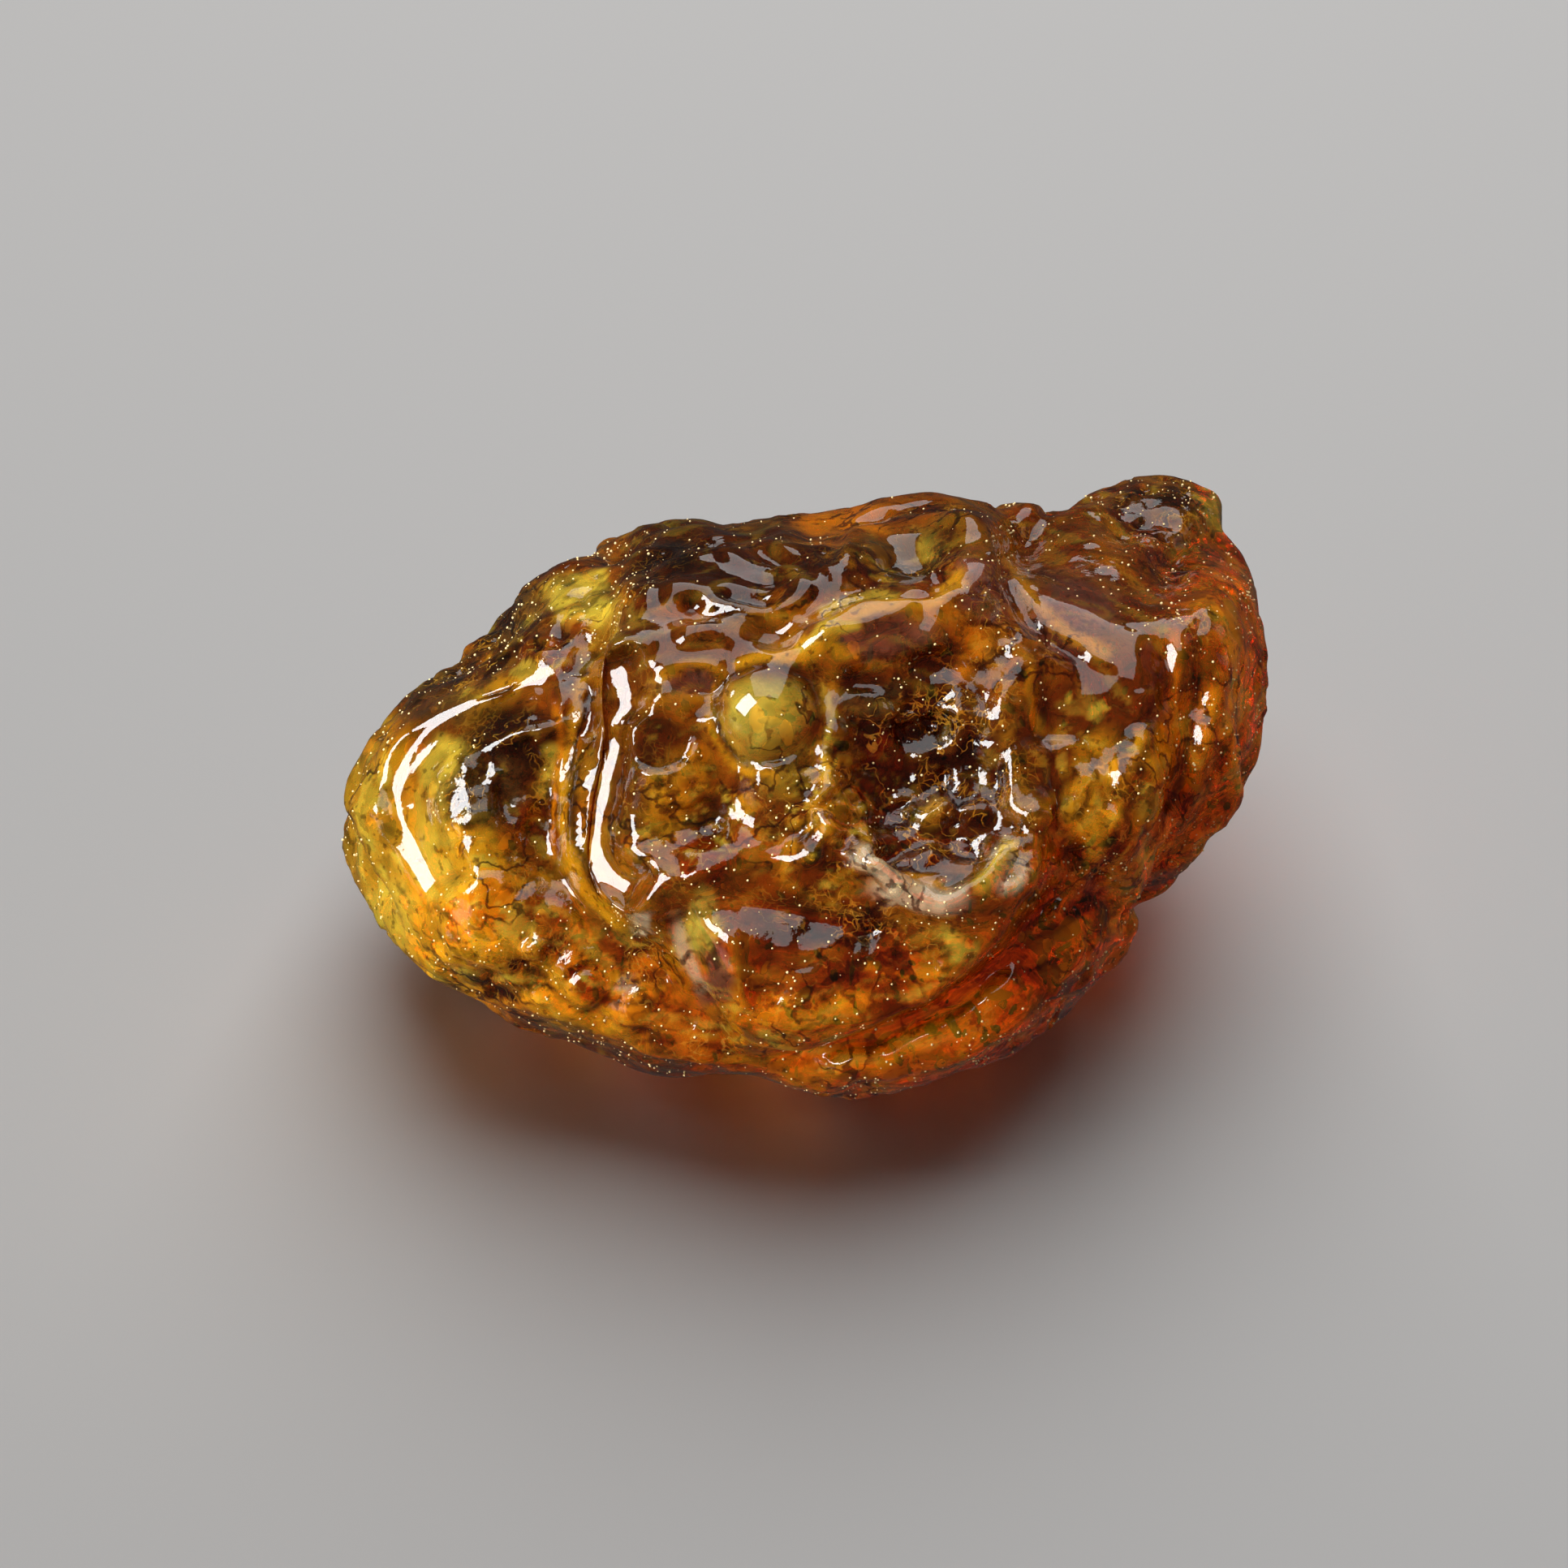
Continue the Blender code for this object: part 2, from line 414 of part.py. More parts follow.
def banded(points, normals):
    """Settles the skin along each smooth band on one leaning, slightly rounded face."""
    places = laid_out(points, FRONT)
    faced = smooth_step(0.25, 0.6, normals @ FRONT[2])
    depth = points @ FRONT[2]
    for half_width, radius, line in FRONT_BANDS.values():
        distance, _, fraction = measured_along(places, line)
        share = faced * np.exp(-(distance / half_width) ** 4) * end_taper(fraction, 0.06)
        near = share > 0.3
        leaning = places @ BAND_LEAN
        drift, level = np.polyfit(fraction[near], (depth - leaning)[near], 1)
        kept_drift = np.clip(drift, -LEVEL_DRIFT, LEVEL_DRIFT)
        level += (drift - kept_drift) / 2
        wanted = leaning + level + kept_drift * fraction - distance ** 2 / (2 * radius)
        depth = depth + share * np.clip(wanted - depth, -BAND_SHIFT, BAND_SHIFT)
    return points + np.outer(depth - points @ FRONT[2], FRONT[2])


def lump_points(points, triangles):
    points = fitted_to_outline(blown_surface(points))
    normals = surface_normals(points, triangles)
    height = unevenness(points, normals)
    for face, relief, turned_away, faced in RELIEF:
        facing = smooth_step(turned_away, faced, normals @ face[2])
        height += facing * face_relief(laid_out(points, face), *relief)
    points = points + normals * height[:, None]
    points = banded(points, surface_normals(points, triangles))
    return fitted_to_outline(points)


def amber_material():
    material = bpy.data.materials.new("amber")
    material.use_nodes = True
    shader = material.node_tree.nodes["Principled BSDF"]
    for socket, value in AMBER.items():
        shader.inputs[socket].default_value = value
    material.diffuse_color = AMBER["Base Color"]
    return material


def link_new(name, shape):
    """Puts a bmesh shape in the scene as an object and frees it."""
    mesh = bpy.data.meshes.new(name)
    shape.to_mesh(mesh)
    shape.free()
    thing = bpy.data.objects.new(name, mesh)
    bpy.context.collection.objects.link(thing)
    return thing


def fine_lump():
    """The lump at full detail, before its faces are thinned and its flat is cut."""
    shape = bmesh.new()
    bmesh.ops.create_icosphere(shape, subdivisions=SPHERE_STEPS, radius=1.0)
    points = np.array([vertex.co for vertex in shape.verts])
    triangles = np.array([[vertex.index for vertex in face.verts] for face in shape.faces])
    directions = points / np.linalg.norm(points, axis=1)[:, None]
    for vertex, point in zip(shape.verts, lump_points(directions, triangles)):
        vertex.co = point * SCALE
    return link_new("raw_amber", shape)


def rest_cutter():
    """A block whose top is the plane that the underside is worn flat to."""
    shape = bmesh.new()
    bmesh.ops.create_cube(shape, size=2.0 * LENGTH)
    bmesh.ops.translate(shape, verts=shape.verts, vec=(0.0, 0.0, -HEART_HEIGHT * SCALE - LENGTH))
    cutter = link_new("rest_cutter", shape)
    cutter.hide_render = True
    cutter.display_type = "WIRE"
    return cutter


def raw_amber():
    lump = fine_lump()
    thin = lump.modifiers.new("Fewer faces", "DECIMATE")
    thin.ratio = TRIANGLES / len(lump.data.polygons)
    cutter = rest_cutter()
    flat = lump.modifiers.new("Rest flat", "BOOLEAN")
    flat.operation = "DIFFERENCE"
    flat.solver = "EXACT"
    flat.object = cutter

    finished = lump.evaluated_get(bpy.context.evaluated_depsgraph_get())
    corners = np.array([vertex.co for vertex in finished.data.vertices])
    middle = (corners.min(axis=0) + corners.max(axis=0)) / 2
    to_origin = Matrix.Translation((-middle[0], -middle[1], HEART_HEIGHT * SCALE))
    for thing in (lump, cutter):
        thing.data.transform(to_origin)
    return lump


for leftover in list(bpy.data.objects):
    bpy.data.objects.remove(leftover)

amber = raw_amber()
amber.data.materials.append(amber_material())
amber.data.shade_smooth()
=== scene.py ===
import math
import bmesh
import bpy
import numpy as np
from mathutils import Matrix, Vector, noise


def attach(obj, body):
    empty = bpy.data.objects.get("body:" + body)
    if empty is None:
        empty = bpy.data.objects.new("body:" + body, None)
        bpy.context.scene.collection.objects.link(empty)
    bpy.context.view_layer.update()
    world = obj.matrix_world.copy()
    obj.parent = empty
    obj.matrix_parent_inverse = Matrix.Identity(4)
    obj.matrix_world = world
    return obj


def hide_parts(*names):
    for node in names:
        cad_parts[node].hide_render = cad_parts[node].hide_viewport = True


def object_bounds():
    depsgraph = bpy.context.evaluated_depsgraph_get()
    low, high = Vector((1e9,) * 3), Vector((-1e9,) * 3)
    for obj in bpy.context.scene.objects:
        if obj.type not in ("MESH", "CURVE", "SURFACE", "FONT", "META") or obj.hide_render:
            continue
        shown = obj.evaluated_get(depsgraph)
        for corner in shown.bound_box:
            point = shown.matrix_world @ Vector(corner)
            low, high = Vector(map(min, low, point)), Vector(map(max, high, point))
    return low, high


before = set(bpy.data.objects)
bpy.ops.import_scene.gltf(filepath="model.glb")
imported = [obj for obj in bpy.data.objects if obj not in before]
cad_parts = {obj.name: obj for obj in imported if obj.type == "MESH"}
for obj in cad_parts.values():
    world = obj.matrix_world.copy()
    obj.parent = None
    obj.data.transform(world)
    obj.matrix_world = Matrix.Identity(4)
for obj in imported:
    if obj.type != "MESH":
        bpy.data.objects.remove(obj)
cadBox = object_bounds()
mm = 0.001

# the eye; lines and zones below lie on a sheet that faces it: (across, up) from the heart, in mm
sight = {
    "heart": (-1.28 * mm, 0.21 * mm, 16.2 * mm),
    "elevation": 40.0,
    "distance": 309.0 * mm,
    "lens": 100.0,
}
lift = math.radians(sight["elevation"])
heart = np.array(sight["heart"])
acrossAxis = np.array((1.0, 0.0, 0.0))
upAxis = np.array((0.0, math.sin(lift), math.cos(lift)))
outAxis = np.array((0.0, -math.cos(lift), math.sin(lift)))


def facePlaces(points):
    local = points - heart
    nearness = sight["distance"] / (sight["distance"] - local @ outAxis)
    return np.column_stack((local @ acrossAxis * nearness, local @ upAxis * nearness)) / mm


def easeStep(low, high, value):
    ramp = np.clip((value - low) / (high - low), 0.0, 1.0)
    return ramp * ramp * (3.0 - 2.0 * ramp)


def noiseField(points, size, shift=0.0):
    return np.array([noise.noise(Vector(spot)) for spot in points / size + shift])


def wander(points, size, shift):
    return np.column_stack((noiseField(points, size, shift), noiseField(points, size, shift + 12.0)))


def strandField(points, places, length, width, shift):
    # noise drawn out into strands that follow the lump's outline
    strayed = places + 1.6 * wander(points, 5 * mm, shift + 40.0) + 0.5 * wander(points, 1.8 * mm, shift + 60.0)
    ring = strayed / (33.0, 19.5)
    reach = np.linalg.norm(ring, axis=1)
    turn = np.arctan2(ring[:, 1], ring[:, 0])
    depth = points @ outAxis / mm
    spots = np.column_stack((26 * reach / width, (25 * np.cos(turn) + depth / 2) / length,
                             25 * np.sin(turn) / length)) + shift
    return np.array([noise.noise(Vector(spot)) for spot in spots])


def smoothLine(line, pieces=6):
    # Catmull-Rom curve through the line's own points
    knots = np.array([line[0], *line, line[-1]], dtype=float)
    curve = []
    for a, b, c, d in zip(knots, knots[1:], knots[2:], knots[3:]):
        for step in range(pieces):
            t = step / pieces
            curve.append(0.5 * (2 * b + (c - a) * t + (2 * a - 5 * b + 4 * c - d) * t * t
                                + (3 * b - a - 3 * c + d) * t ** 3))
    curve.append(knots[-1])
    return np.array(curve)


def lineReach(places, line):
    # distance to the line, and how far along it the nearest place lies, from 0 to 1
    curve = smoothLine(line)
    nearest = np.full(len(places), 1e9)
    fraction = np.zeros(len(places))
    lengths = np.linalg.norm(np.diff(curve, axis=0), axis=1)
    travelled = np.concatenate(([0.0], np.cumsum(lengths)))
    for start, end, length, before in zip(curve, curve[1:], lengths, travelled):
        along = (end - start) / length
        offset = places - start
        t = np.clip(offset @ along, 0.0, length)
        distance = np.linalg.norm(offset - t[:, None] * along, axis=1)
        closer = distance < nearest
        nearest = np.where(closer, distance, nearest)
        fraction = np.where(closer, (before + t) / travelled[-1], fraction)
    return nearest, fraction


def endTaper(fraction, share=0.16):
    return easeStep(0.0, share, fraction) * easeStep(0.0, share, 1.0 - fraction)


def patch(places, centre, halves, edge=0.55):
    radius = np.linalg.norm((places - centre) / np.array(halves), axis=1)
    return 1.0 - easeStep(edge, 1.15, radius)


# the body's skin
amberBody = {
    "voxel": 0.375 * mm,
    "smoothRounds": 7,
    "calmRounds": 54,
    "bandRounds": 3,
    "wrinkle": (3.0 * mm, 0.24 * mm),      # size and height of each kind of fine relief
    "knobbly": (1.7 * mm, 0.20 * mm),
    "ripple": (0.95 * mm, 0.10 * mm),
    "pit": (1.5 * mm, 0.36 * mm),
    "worn": (0.4 * mm, 1.6 * mm),          # no relief below, all of it above
    "lightFrom": (-0.64, -0.32, 0.70),
}

# smooth bands that all lean the same way: half width, radius across, line
leaningBands = {
    "lobe band": (1.9, 6.0, [(-15.6, 6.4), (-18.6, 6.3), (-21.6, 5.3), (-24.8, 3.4), (-26.9, 0.5),
                             (-26.5, -2.7), (-25.2, -5.6), (-23.7, -8.2)]),
    "crest band": (1.6, 5.4, [(-12.4, 9.8), (-11.9, 8.2), (-11.5, 5.8), (-12.0, 3.4), (-13.0, 1.0),
                              (-13.7, -1.8), (-13.9, -4.4), (-12.4, -6.6), (-9.8, -8.1)]),
    "fold side": (0.55, 2.6, [(-15.8, 2.6), (-15.8, 0.0), (-15.7, -3.0), (-15.6, -6.6)]),
    "bubble heel": (1.0, 6.0, [(-5.9, 5.0), (-5.3, 3.2), (-4.3, 1.4), (-3.2, 0.4)]),
    "chin band": (1.0, 4.0, [(-8.0, -9.0), (-6.9, -11.6), (-5.7, -14.4)]),
    "skirt band": (0.45, 2.0, [(-14.8, -9.8), (-14.7, -11.4), (-15.2, -12.8)]),
}
bandLean = np.array((0.38, -0.20))     # rise of a band's face, across and up
bandCurl = 0.0015                      # the rise across eases off towards the left
bandShift = 2.2                        # most that the skin moves to meet a band
bandDrift = 1.8                        # most that a band may rise or fall along its line

# smooth rounded crests: reach, line
calmLines = {
    "top": (2.4, [(-10.4, 17.4), (-5.0, 17.6), (0.6, 17.2), (6.4, 18.6), (11.0, 19.4), (15.0, 17.0)]),
    "upper bands": (2.6, [(-9.6, 13.6), (-5.4, 13.8), (-1.2, 13.6), (3.4, 12.6)]),
    "middle bands": (2.0, [(-10.0, 9.6), (-6.4, 8.6), (-2.8, 10.0), (1.4, 10.6), (6.0, 11.0), (11.0, 13.0)]),
    "flank face": (2.6, [(20.6, 8.4), (23.6, 5.6), (24.6, 3.6)]),
    "chin side": (1.8, [(-7.8, -9.6), (-7.0, -12.2), (-5.8, -14.6), (-4.0, -16.8)]),
    "flank fold": (2.0, [(18.2, 14.8), (20.8, 12.0), (23.4, 9.6), (25.4, 6.0)]),
}

# places that are all knobs and pits: centre, half sizes, strength
roughPatches = [
    ((10.4, 0.2), (7.0, 8.2), 1.5),
    ((6.0, -8.0), (3.0, 3.4), 1.0),
    ((10.0, -12.0), (4.0, 2.6), 0.8),
    ((4.8, -10.2), (4.6, 2.6), 0.7),
    ((-22.8, -0.8), (1.6, 3.4), 1.1),
    ((3.4, -1.6), (3.4, 6.0), 1.3),
    ((15.4, 9.4), (2.6, 5.0), 1.0),
    ((-20.6, 9.4), (8.0, 4.0), 1.2),
    ((-18.8, 0.2), (4.6, 4.4), 0.8),
    ((-19.0, -13.4), (9.0, 3.6), 1.1),
    ((-6.0, 1.2), (3.4, 4.6), 0.7),
    ((8.8, 15.8), (2.6, 1.4), 0.9),
    ((1.0, -14.4), (5.4, 4.6), 0.6),
    ((26.6, 19.2), (4.6, 3.0), 0.9),
    ((23.0, -4.0), (4.6, 8.0), 0.9),
]

# smooth swells of the skin, one wave beside the next: height, width, line
swells = {
    "swell a": (0.75, 1.1, [(-11.0, 15.3), (-9.6, 17.3), (-6.7, 17.9), (-3.8, 16.5), (-0.3, 17.0), (2.0, 17.9)]),
    "swell b": (0.65, 0.9, [(-10.1, 14.5), (-7.8, 15.3), (-5.0, 15.9), (-1.8, 15.1), (1.3, 14.4), (0.2, 12.6),
                            (-2.1, 11.7)]),
    "swell c": (0.65, 0.9, [(-9.9, 13.0), (-6.9, 13.6), (-4.4, 12.7), (-2.3, 11.6), (-5.3, 10.9), (-8.8, 10.3)]),
    "swell d": (0.80, 1.2, [(2.4, 17.6), (4.6, 16.3), (5.4, 17.6), (6.9, 19.1), (9.4, 19.8), (12.4, 19.0),
                            (14.8, 17.2)]),
    "swell e": (0.75, 1.1, [(14.9, 16.6), (12.3, 15.1), (10.0, 13.3), (6.6, 11.7), (3.1, 10.7), (1.0, 9.4)]),
    "arc": (0.85, 0.65, [(4.9, -4.2), (6.7, -6.1), (9.0, -7.9), (11.4, -8.4), (13.8, -7.6), (15.4, -5.4),
                         (16.0, -3.6)]),
    "hollow wall": (0.5, 0.7, [(16.4, -3.0), (16.2, 1.0), (15.6, 4.4), (15.6, 8.0)]),
    "leaf": (0.45, 1.3, [(-9.4, 7.2), (-6.8, 8.2), (-4.0, 7.6)]),
    "skirt a": (0.7, 0.9, [(1.0, -19.9), (5.0, -19.9), (9.4, -18.4), (13.6, -16.2), (17.6, -12.4)]),
    "skirt b": (0.6, 0.8, [(5.0, -21.6), (9.4, -20.6), (14.0, -18.2), (18.4, -14.6), (21.4, -10.6)]),
    "flank rise": (0.9, 2.2, [(18.4, 3.4), (18.6, 0.0), (18.2, -3.6)]),
    "bubble shelf": (0.5, 0.9, [(2.2, 8.4), (5.2, 9.2), (8.6, 9.6), (12.0, 11.2)]),
    "flank c": (0.7, 0.8, [(24.6, 3.0), (23.4, -2.0), (20.6, -7.0), (17.6, -11.0)]),
    "flank a": (0.85, 1.0, [(28.4, 12.0), (27.6, 7.6), (27.0, 3.0), (25.2, -2.0), (22.0, -7.0)]),
    "flank b": (0.75, 0.8, [(31.0, 10.0), (30.2, 5.0), (29.0, 0.0), (26.4, -5.0)]),
}

# smooth little hollows: depth, centre, half sizes
pits = [
    (0.7, (-0.9, 15.7), (2.4, 0.8)),
    (0.8, (-2.3, 13.3), (3.2, 1.0)),
    (0.5, (-8.1, 15.9), (1.3, 0.6)),
    (0.5, (-6.3, 12.7), (0.8, 0.6)),
    (0.7, (-1.0, 10.6), (2.2, 1.2)),
    (0.7, (3.4, 16.5), (1.1, 1.0)),
    (0.9, (8.6, 16.2), (2.4, 1.5)),
    (0.5, (-8.8, 3.6), (2.6, 2.4)),
    (0.7, (8.0, -5.0), (2.2, 1.2)),
    (0.8, (12.6, -4.2), (2.2, 1.6)),
    (0.7, (9.4, 4.4), (3.2, 2.2)),
    (0.6, (10.6, 8.4), (2.2, 1.3)),
    (0.5, (5.6, 7.2), (2.0, 1.0)),
    (0.5, (13.2, 2.0), (1.6, 2.4)),
    (0.6, (-20.0, 2.0), (2.6, 1.6)),
    (0.5, (-5.4, -2.4), (1.4, 2.2)),
]

# crisp creases and threads: height, width, line
fineLines = {
    "valley thread a": (0.34, 0.45, [(-13.4, 9.0), (-14.6, 5.0), (-15.3, 1.0), (-15.6, -3.0),
                                     (-14.8, -7.2), (-12.0, -10.6)]),
    "valley thread b": (0.30, 0.40, [(-13.2, 7.2), (-14.1, 4.4), (-14.5, 0.6), (-14.9, -3.4),
                                     (-14.2, -7.4), (-11.2, -10.2), (-8.0, -13.4)]),
    "valley thread c": (0.30, 0.45, [(-15.7, 3.6), (-15.9, 0.4), (-16.2, -3.2), (-16.6, -6.4)]),
    "ridge thread a": (0.26, 0.35, [(2.0, 9.6), (5.0, 12.0), (8.6, 12.6), (11.6, 13.2), (13.6, 15.2)]),
    "ridge thread b": (0.24, 0.35, [(1.2, 10.6), (3.6, 12.8), (6.6, 13.6), (9.8, 13.8), (12.0, 15.6)]),
    "golden line": (0.38, 0.45, [(15.0, 16.8), (16.6, 13.6), (18.6, 11.2), (21.2, 9.6), (24.0, 8.2)]),
    "leaf edge": (0.26, 0.45, [(-9.6, 7.6), (-6.6, 8.6), (-3.9, 7.6), (-4.8, 6.0), (-8.0, 6.2),
                               (-9.6, 7.6)]),
    "web a": (0.44, 0.45, [(2.4, 3.4), (3.4, 0.6), (2.6, -1.8), (4.2, -4.0)]),
    "web b": (0.38, 0.40, [(0.6, -2.0), (2.8, -1.0), (5.0, -2.0), (6.6, -0.8)]),
    "web c": (0.38, 0.40, [(1.6, -5.6), (3.0, -3.6), (2.8, -1.6)]),
    "hollow rib a": (0.42, 0.50, [(6.6, 5.6), (9.2, 4.6), (11.8, 5.4), (14.2, 4.0)]),
    "hollow rib b": (0.42, 0.50, [(7.4, -0.6), (10.0, -2.2), (12.8, -1.6), (15.2, -2.8)]),
    "hollow rib c": (0.36, 0.45, [(11.8, 7.6), (12.6, 4.4), (12.2, 1.4), (13.6, -1.4)]),
    "skirt thread c": (0.30, 0.45, [(-20.6, -13.2), (-16.8, -15.6), (-12.6, -17.6), (-8.0, -19.2),
                                    (-3.0, -20.2)]),
    "chin thread": (0.30, 0.45, [(-5.0, -9.0), (-3.4, -12.0), (-2.6, -15.6), (0.6, -17.2), (5.0, -16.8)]),
}

# round blisters: centre, radius of the rim, radius of the ball, rise of the rim
blisters = {
    "bubble": ((-1.2, 4.9), 3.5, 4.4, 0.25),
    "plateau blister": ((-8.9, 3.2), 2.4, 3.6, 0.0),
    "skirt blister": ((-14.1, -14.3), 1.6, 2.2, 0.1),
}


def mergedCopy(node):
    # a CAD node's mesh is loose triangles, so its copy is merged
    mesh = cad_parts[node].data.copy()
    shape = bmesh.new()
    shape.from_mesh(mesh)
    bmesh.ops.remove_doubles(shape, verts=shape.verts, dist=0.001 * mm)
    shape.to_mesh(mesh)
    shape.free()
    mesh.materials.clear()
    thing = bpy.data.objects.new("amberWorking", mesh)
    bpy.context.scene.collection.objects.link(thing)
    return thing


def applied(thing, name):
    # the evaluated object as a plain mesh, with no modifier left
    evaluated = thing.evaluated_get(bpy.context.evaluated_depsgraph_get())
    mesh = bpy.data.meshes.new_from_object(evaluated)
    mesh.name = name
    fresh = bpy.data.objects.new(name, mesh)
    bpy.context.scene.collection.objects.link(fresh)
    bpy.data.objects.remove(thing)
    return fresh


def vertexArray(mesh):
    flat = np.empty(len(mesh.vertices) * 3)
    mesh.vertices.foreach_get("co", flat)
    return flat.reshape(-1, 3)


def normalArray(mesh):
    flat = np.empty(len(mesh.vertices) * 3)
    mesh.vertex_normals.foreach_get("vector", flat)
    return flat.reshape(-1, 3)


def relaxed(values, edges, rounds, share=0.5):
    # each point drawn towards the mean of its neighbours
    count = len(values)
    a, b = edges[:, 0], edges[:, 1]
    degree = np.bincount(a, minlength=count) + np.bincount(b, minlength=count)
    columns = values.reshape(count, -1).copy()
    for _ in range(rounds):
        for k in range(columns.shape[1]):
            total = np.bincount(a, columns[b, k], count) + np.bincount(b, columns[a, k], count)
            columns[:, k] += share * (total / degree - columns[:, k])
    return columns.reshape(values.shape)


def blistered(points, facing):
    # shapes the skin into a ball's cap around each blister's centre
    places = facePlaces(points)
    depth = points @ outAxis / mm
    for centre, radius, ball, rimRise in blisters.values():
        gap = np.linalg.norm(places - centre, axis=1)
        ring = (facing > 0.3) & (np.abs(gap / radius - 1.0) < 0.1)
        middle = depth[ring].mean() + rimRise - math.sqrt(ball ** 2 - radius ** 2)
        cap = middle + np.sqrt(np.maximum(ball ** 2 - gap ** 2, 0.0))
        share = np.where(facing > 0.3, 1.0 - easeStep(0.90, 1.02, gap / radius), 0.0)
        rise = share * (cap - depth)
        points = points + np.outer(rise * mm, outAxis)
        depth = depth + rise
    return points


def banded(points, facing):
    # settles the skin along each band on one leaning, slightly rounded face
    places = facePlaces(points)
    depth = points @ outAxis / mm
    faced = easeStep(0.15, 0.55, facing)
    calm = np.zeros(len(points))
    start = depth.copy()
    for halfWidth, radius, line in leaningBands.values():
        distance, fraction = lineReach(places, line)
        share = faced * np.exp(-(distance / halfWidth) ** 4) * endTaper(fraction, 0.06)
        leaning = places @ bandLean + bandCurl * places[:, 0] ** 2
        drift, level = np.polyfit(fraction[share > 0.3], (depth - leaning)[share > 0.3], 1)
        keptDrift = np.clip(drift, -bandDrift, bandDrift)
        level += (drift - keptDrift) / 2
        wanted = leaning + level + keptDrift * fraction - distance ** 2 / (2 * radius)
        depth += share * np.clip(wanted - depth, -bandShift, bandShift)
        calm = np.maximum(calm, share)
    return points + np.outer((depth - start) * mm, outAxis), calm


def calmShare(places, facing):
    calm = np.zeros(len(places))
    for reach, line in calmLines.values():
        distance, fraction = lineReach(places, line)
        calm = np.maximum(calm, np.exp(-(distance / reach) ** 4) * endTaper(fraction, 0.06))
    for centre, radius, *_ in blisters.values():
        calm = np.maximum(calm, patch(places, centre, (radius, radius), 0.8))
    return calm * facing


def roughShare(points, places, facing, calm):
    rough = 0.30 + 0.9 * easeStep(-0.1, 0.35, noiseField(points, 8 * mm, 3.7)) * (1.0 - 0.5 * facing)
    for centre, halves, strength in roughPatches:
        rough = np.maximum(rough, strength * facing * patch(places, centre, halves, 0.6))
    return rough * (1.0 - 0.92 * calm)


def fineHeight(points, places, facing, rough):
    height = np.zeros(len(points))
    swayed = places + 0.35 * wander(points, 2.2 * mm, 51.0)
    for rise, width, line in [*swells.values(), *fineLines.values()]:
        distance, fraction = lineReach(swayed, line)
        height += facing * rise * mm * np.exp(-(distance / width) ** 2) * endTaper(fraction)
    for depth, centre, halves in pits:
        height -= facing * depth * mm * patch(swayed, centre, halves, 0.3)
    size, rise = amberBody["wrinkle"]
    bent = points + 1.2 * mm * np.column_stack((wander(points, 4 * mm, 31.0), noiseField(points, 4 * mm, 37.0)))
    folds = np.abs(noiseField(bent, size, 7.9)) + np.abs(strandField(points, places, 7.0, 1.7, 9.3))
    height += rise * rough * (0.6 - 1.4 * folds)
    size, rise = amberBody["knobbly"]
    height += rise * rough * noiseField(bent, size, 11.3)
    size, rise = amberBody["ripple"]
    height += rise * rough * noiseField(points, size, 5.1)
    size, rise = amberBody["pit"]
    height -= rise * rough * easeStep(0.24, 0.5, noiseField(points, size, 17.7))
    return height * easeStep(*amberBody["worn"], points[:, 2])


def amberMesh():
    body = mergedCopy("raw_amber")
    rounding = body.modifiers.new("Rounding", "SUBSURF")
    rounding.levels = rounding.render_levels = 1
    voxels = body.modifiers.new("Even skin", "REMESH")
    voxels.mode = "VOXEL"
    voxels.voxel_size = amberBody["voxel"]
    body = applied(body, "amberBody")
    mesh = body.data
    edges = np.empty(len(mesh.edges) * 2, dtype=np.int64)
    mesh.edges.foreach_get("vertices", edges)
    edges = edges.reshape(-1, 2)
    points = relaxed(vertexArray(mesh), edges, amberBody["smoothRounds"])
    mesh.vertices.foreach_set("co", points.ravel())
    mesh.update()
    facing = easeStep(-0.05, 0.35, normalArray(mesh) @ outAxis)
    calm = calmShare(facePlaces(points), facing)
    soft = relaxed(points, edges, amberBody["calmRounds"])
    points = points + (soft - points) * calm[:, None]
    points, bandCalm = banded(points, facing)
    calm = np.maximum(calm, bandCalm)
    soft = relaxed(points, edges, amberBody["bandRounds"])
    points = points + (soft - points) * bandCalm[:, None]
    points = blistered(points, facing)
    mesh.vertices.foreach_set("co", points.ravel())
    mesh.update()
    normals = normalArray(mesh)
    places = facePlaces(points)
    rough = roughShare(points, places, facing, calm)
    points = points + normals * fineHeight(points, places, facing, rough)[:, None]
    points = np.clip(points, *np.array(cadBox))
    mesh.vertices.foreach_set("co", points.ravel())
    mesh.shade_smooth()
    mesh.update()
    soft = relaxed(points, edges, 11)
    hollow = np.einsum("ij,ij->i", soft - points, normals) / mm      # depth under its surroundings
    return body, points, normals, places, facing, calm, rough, hollow


# colours in the resin, as linear light
tones = {
    "black": (0.008, 0.004, 0.002),
    "umber": (0.055, 0.015, 0.003),
    "red": (0.26, 0.030, 0.002),
    "russet": (0.155, 0.037, 0.004),
    "brown": (0.24, 0.074, 0.005),
    "orange": (0.96, 0.29, 0.004),
    "gold": (0.98, 0.47, 0.012),
    "yellow": (1.0, 0.74, 0.06),
    "olive": (0.44, 0.27, 0.018),
    "green": (0.80, 0.66, 0.075),
    # painted sheen: a dull greyish pink-brown standing in for the soft reflection of an overhead light on smooth
    # faces
    "mauve": (0.22, 0.085, 0.050),
    "pale": (0.86, 0.74, 0.44),
    "moss": (0.07, 0.055, 0.015),
}

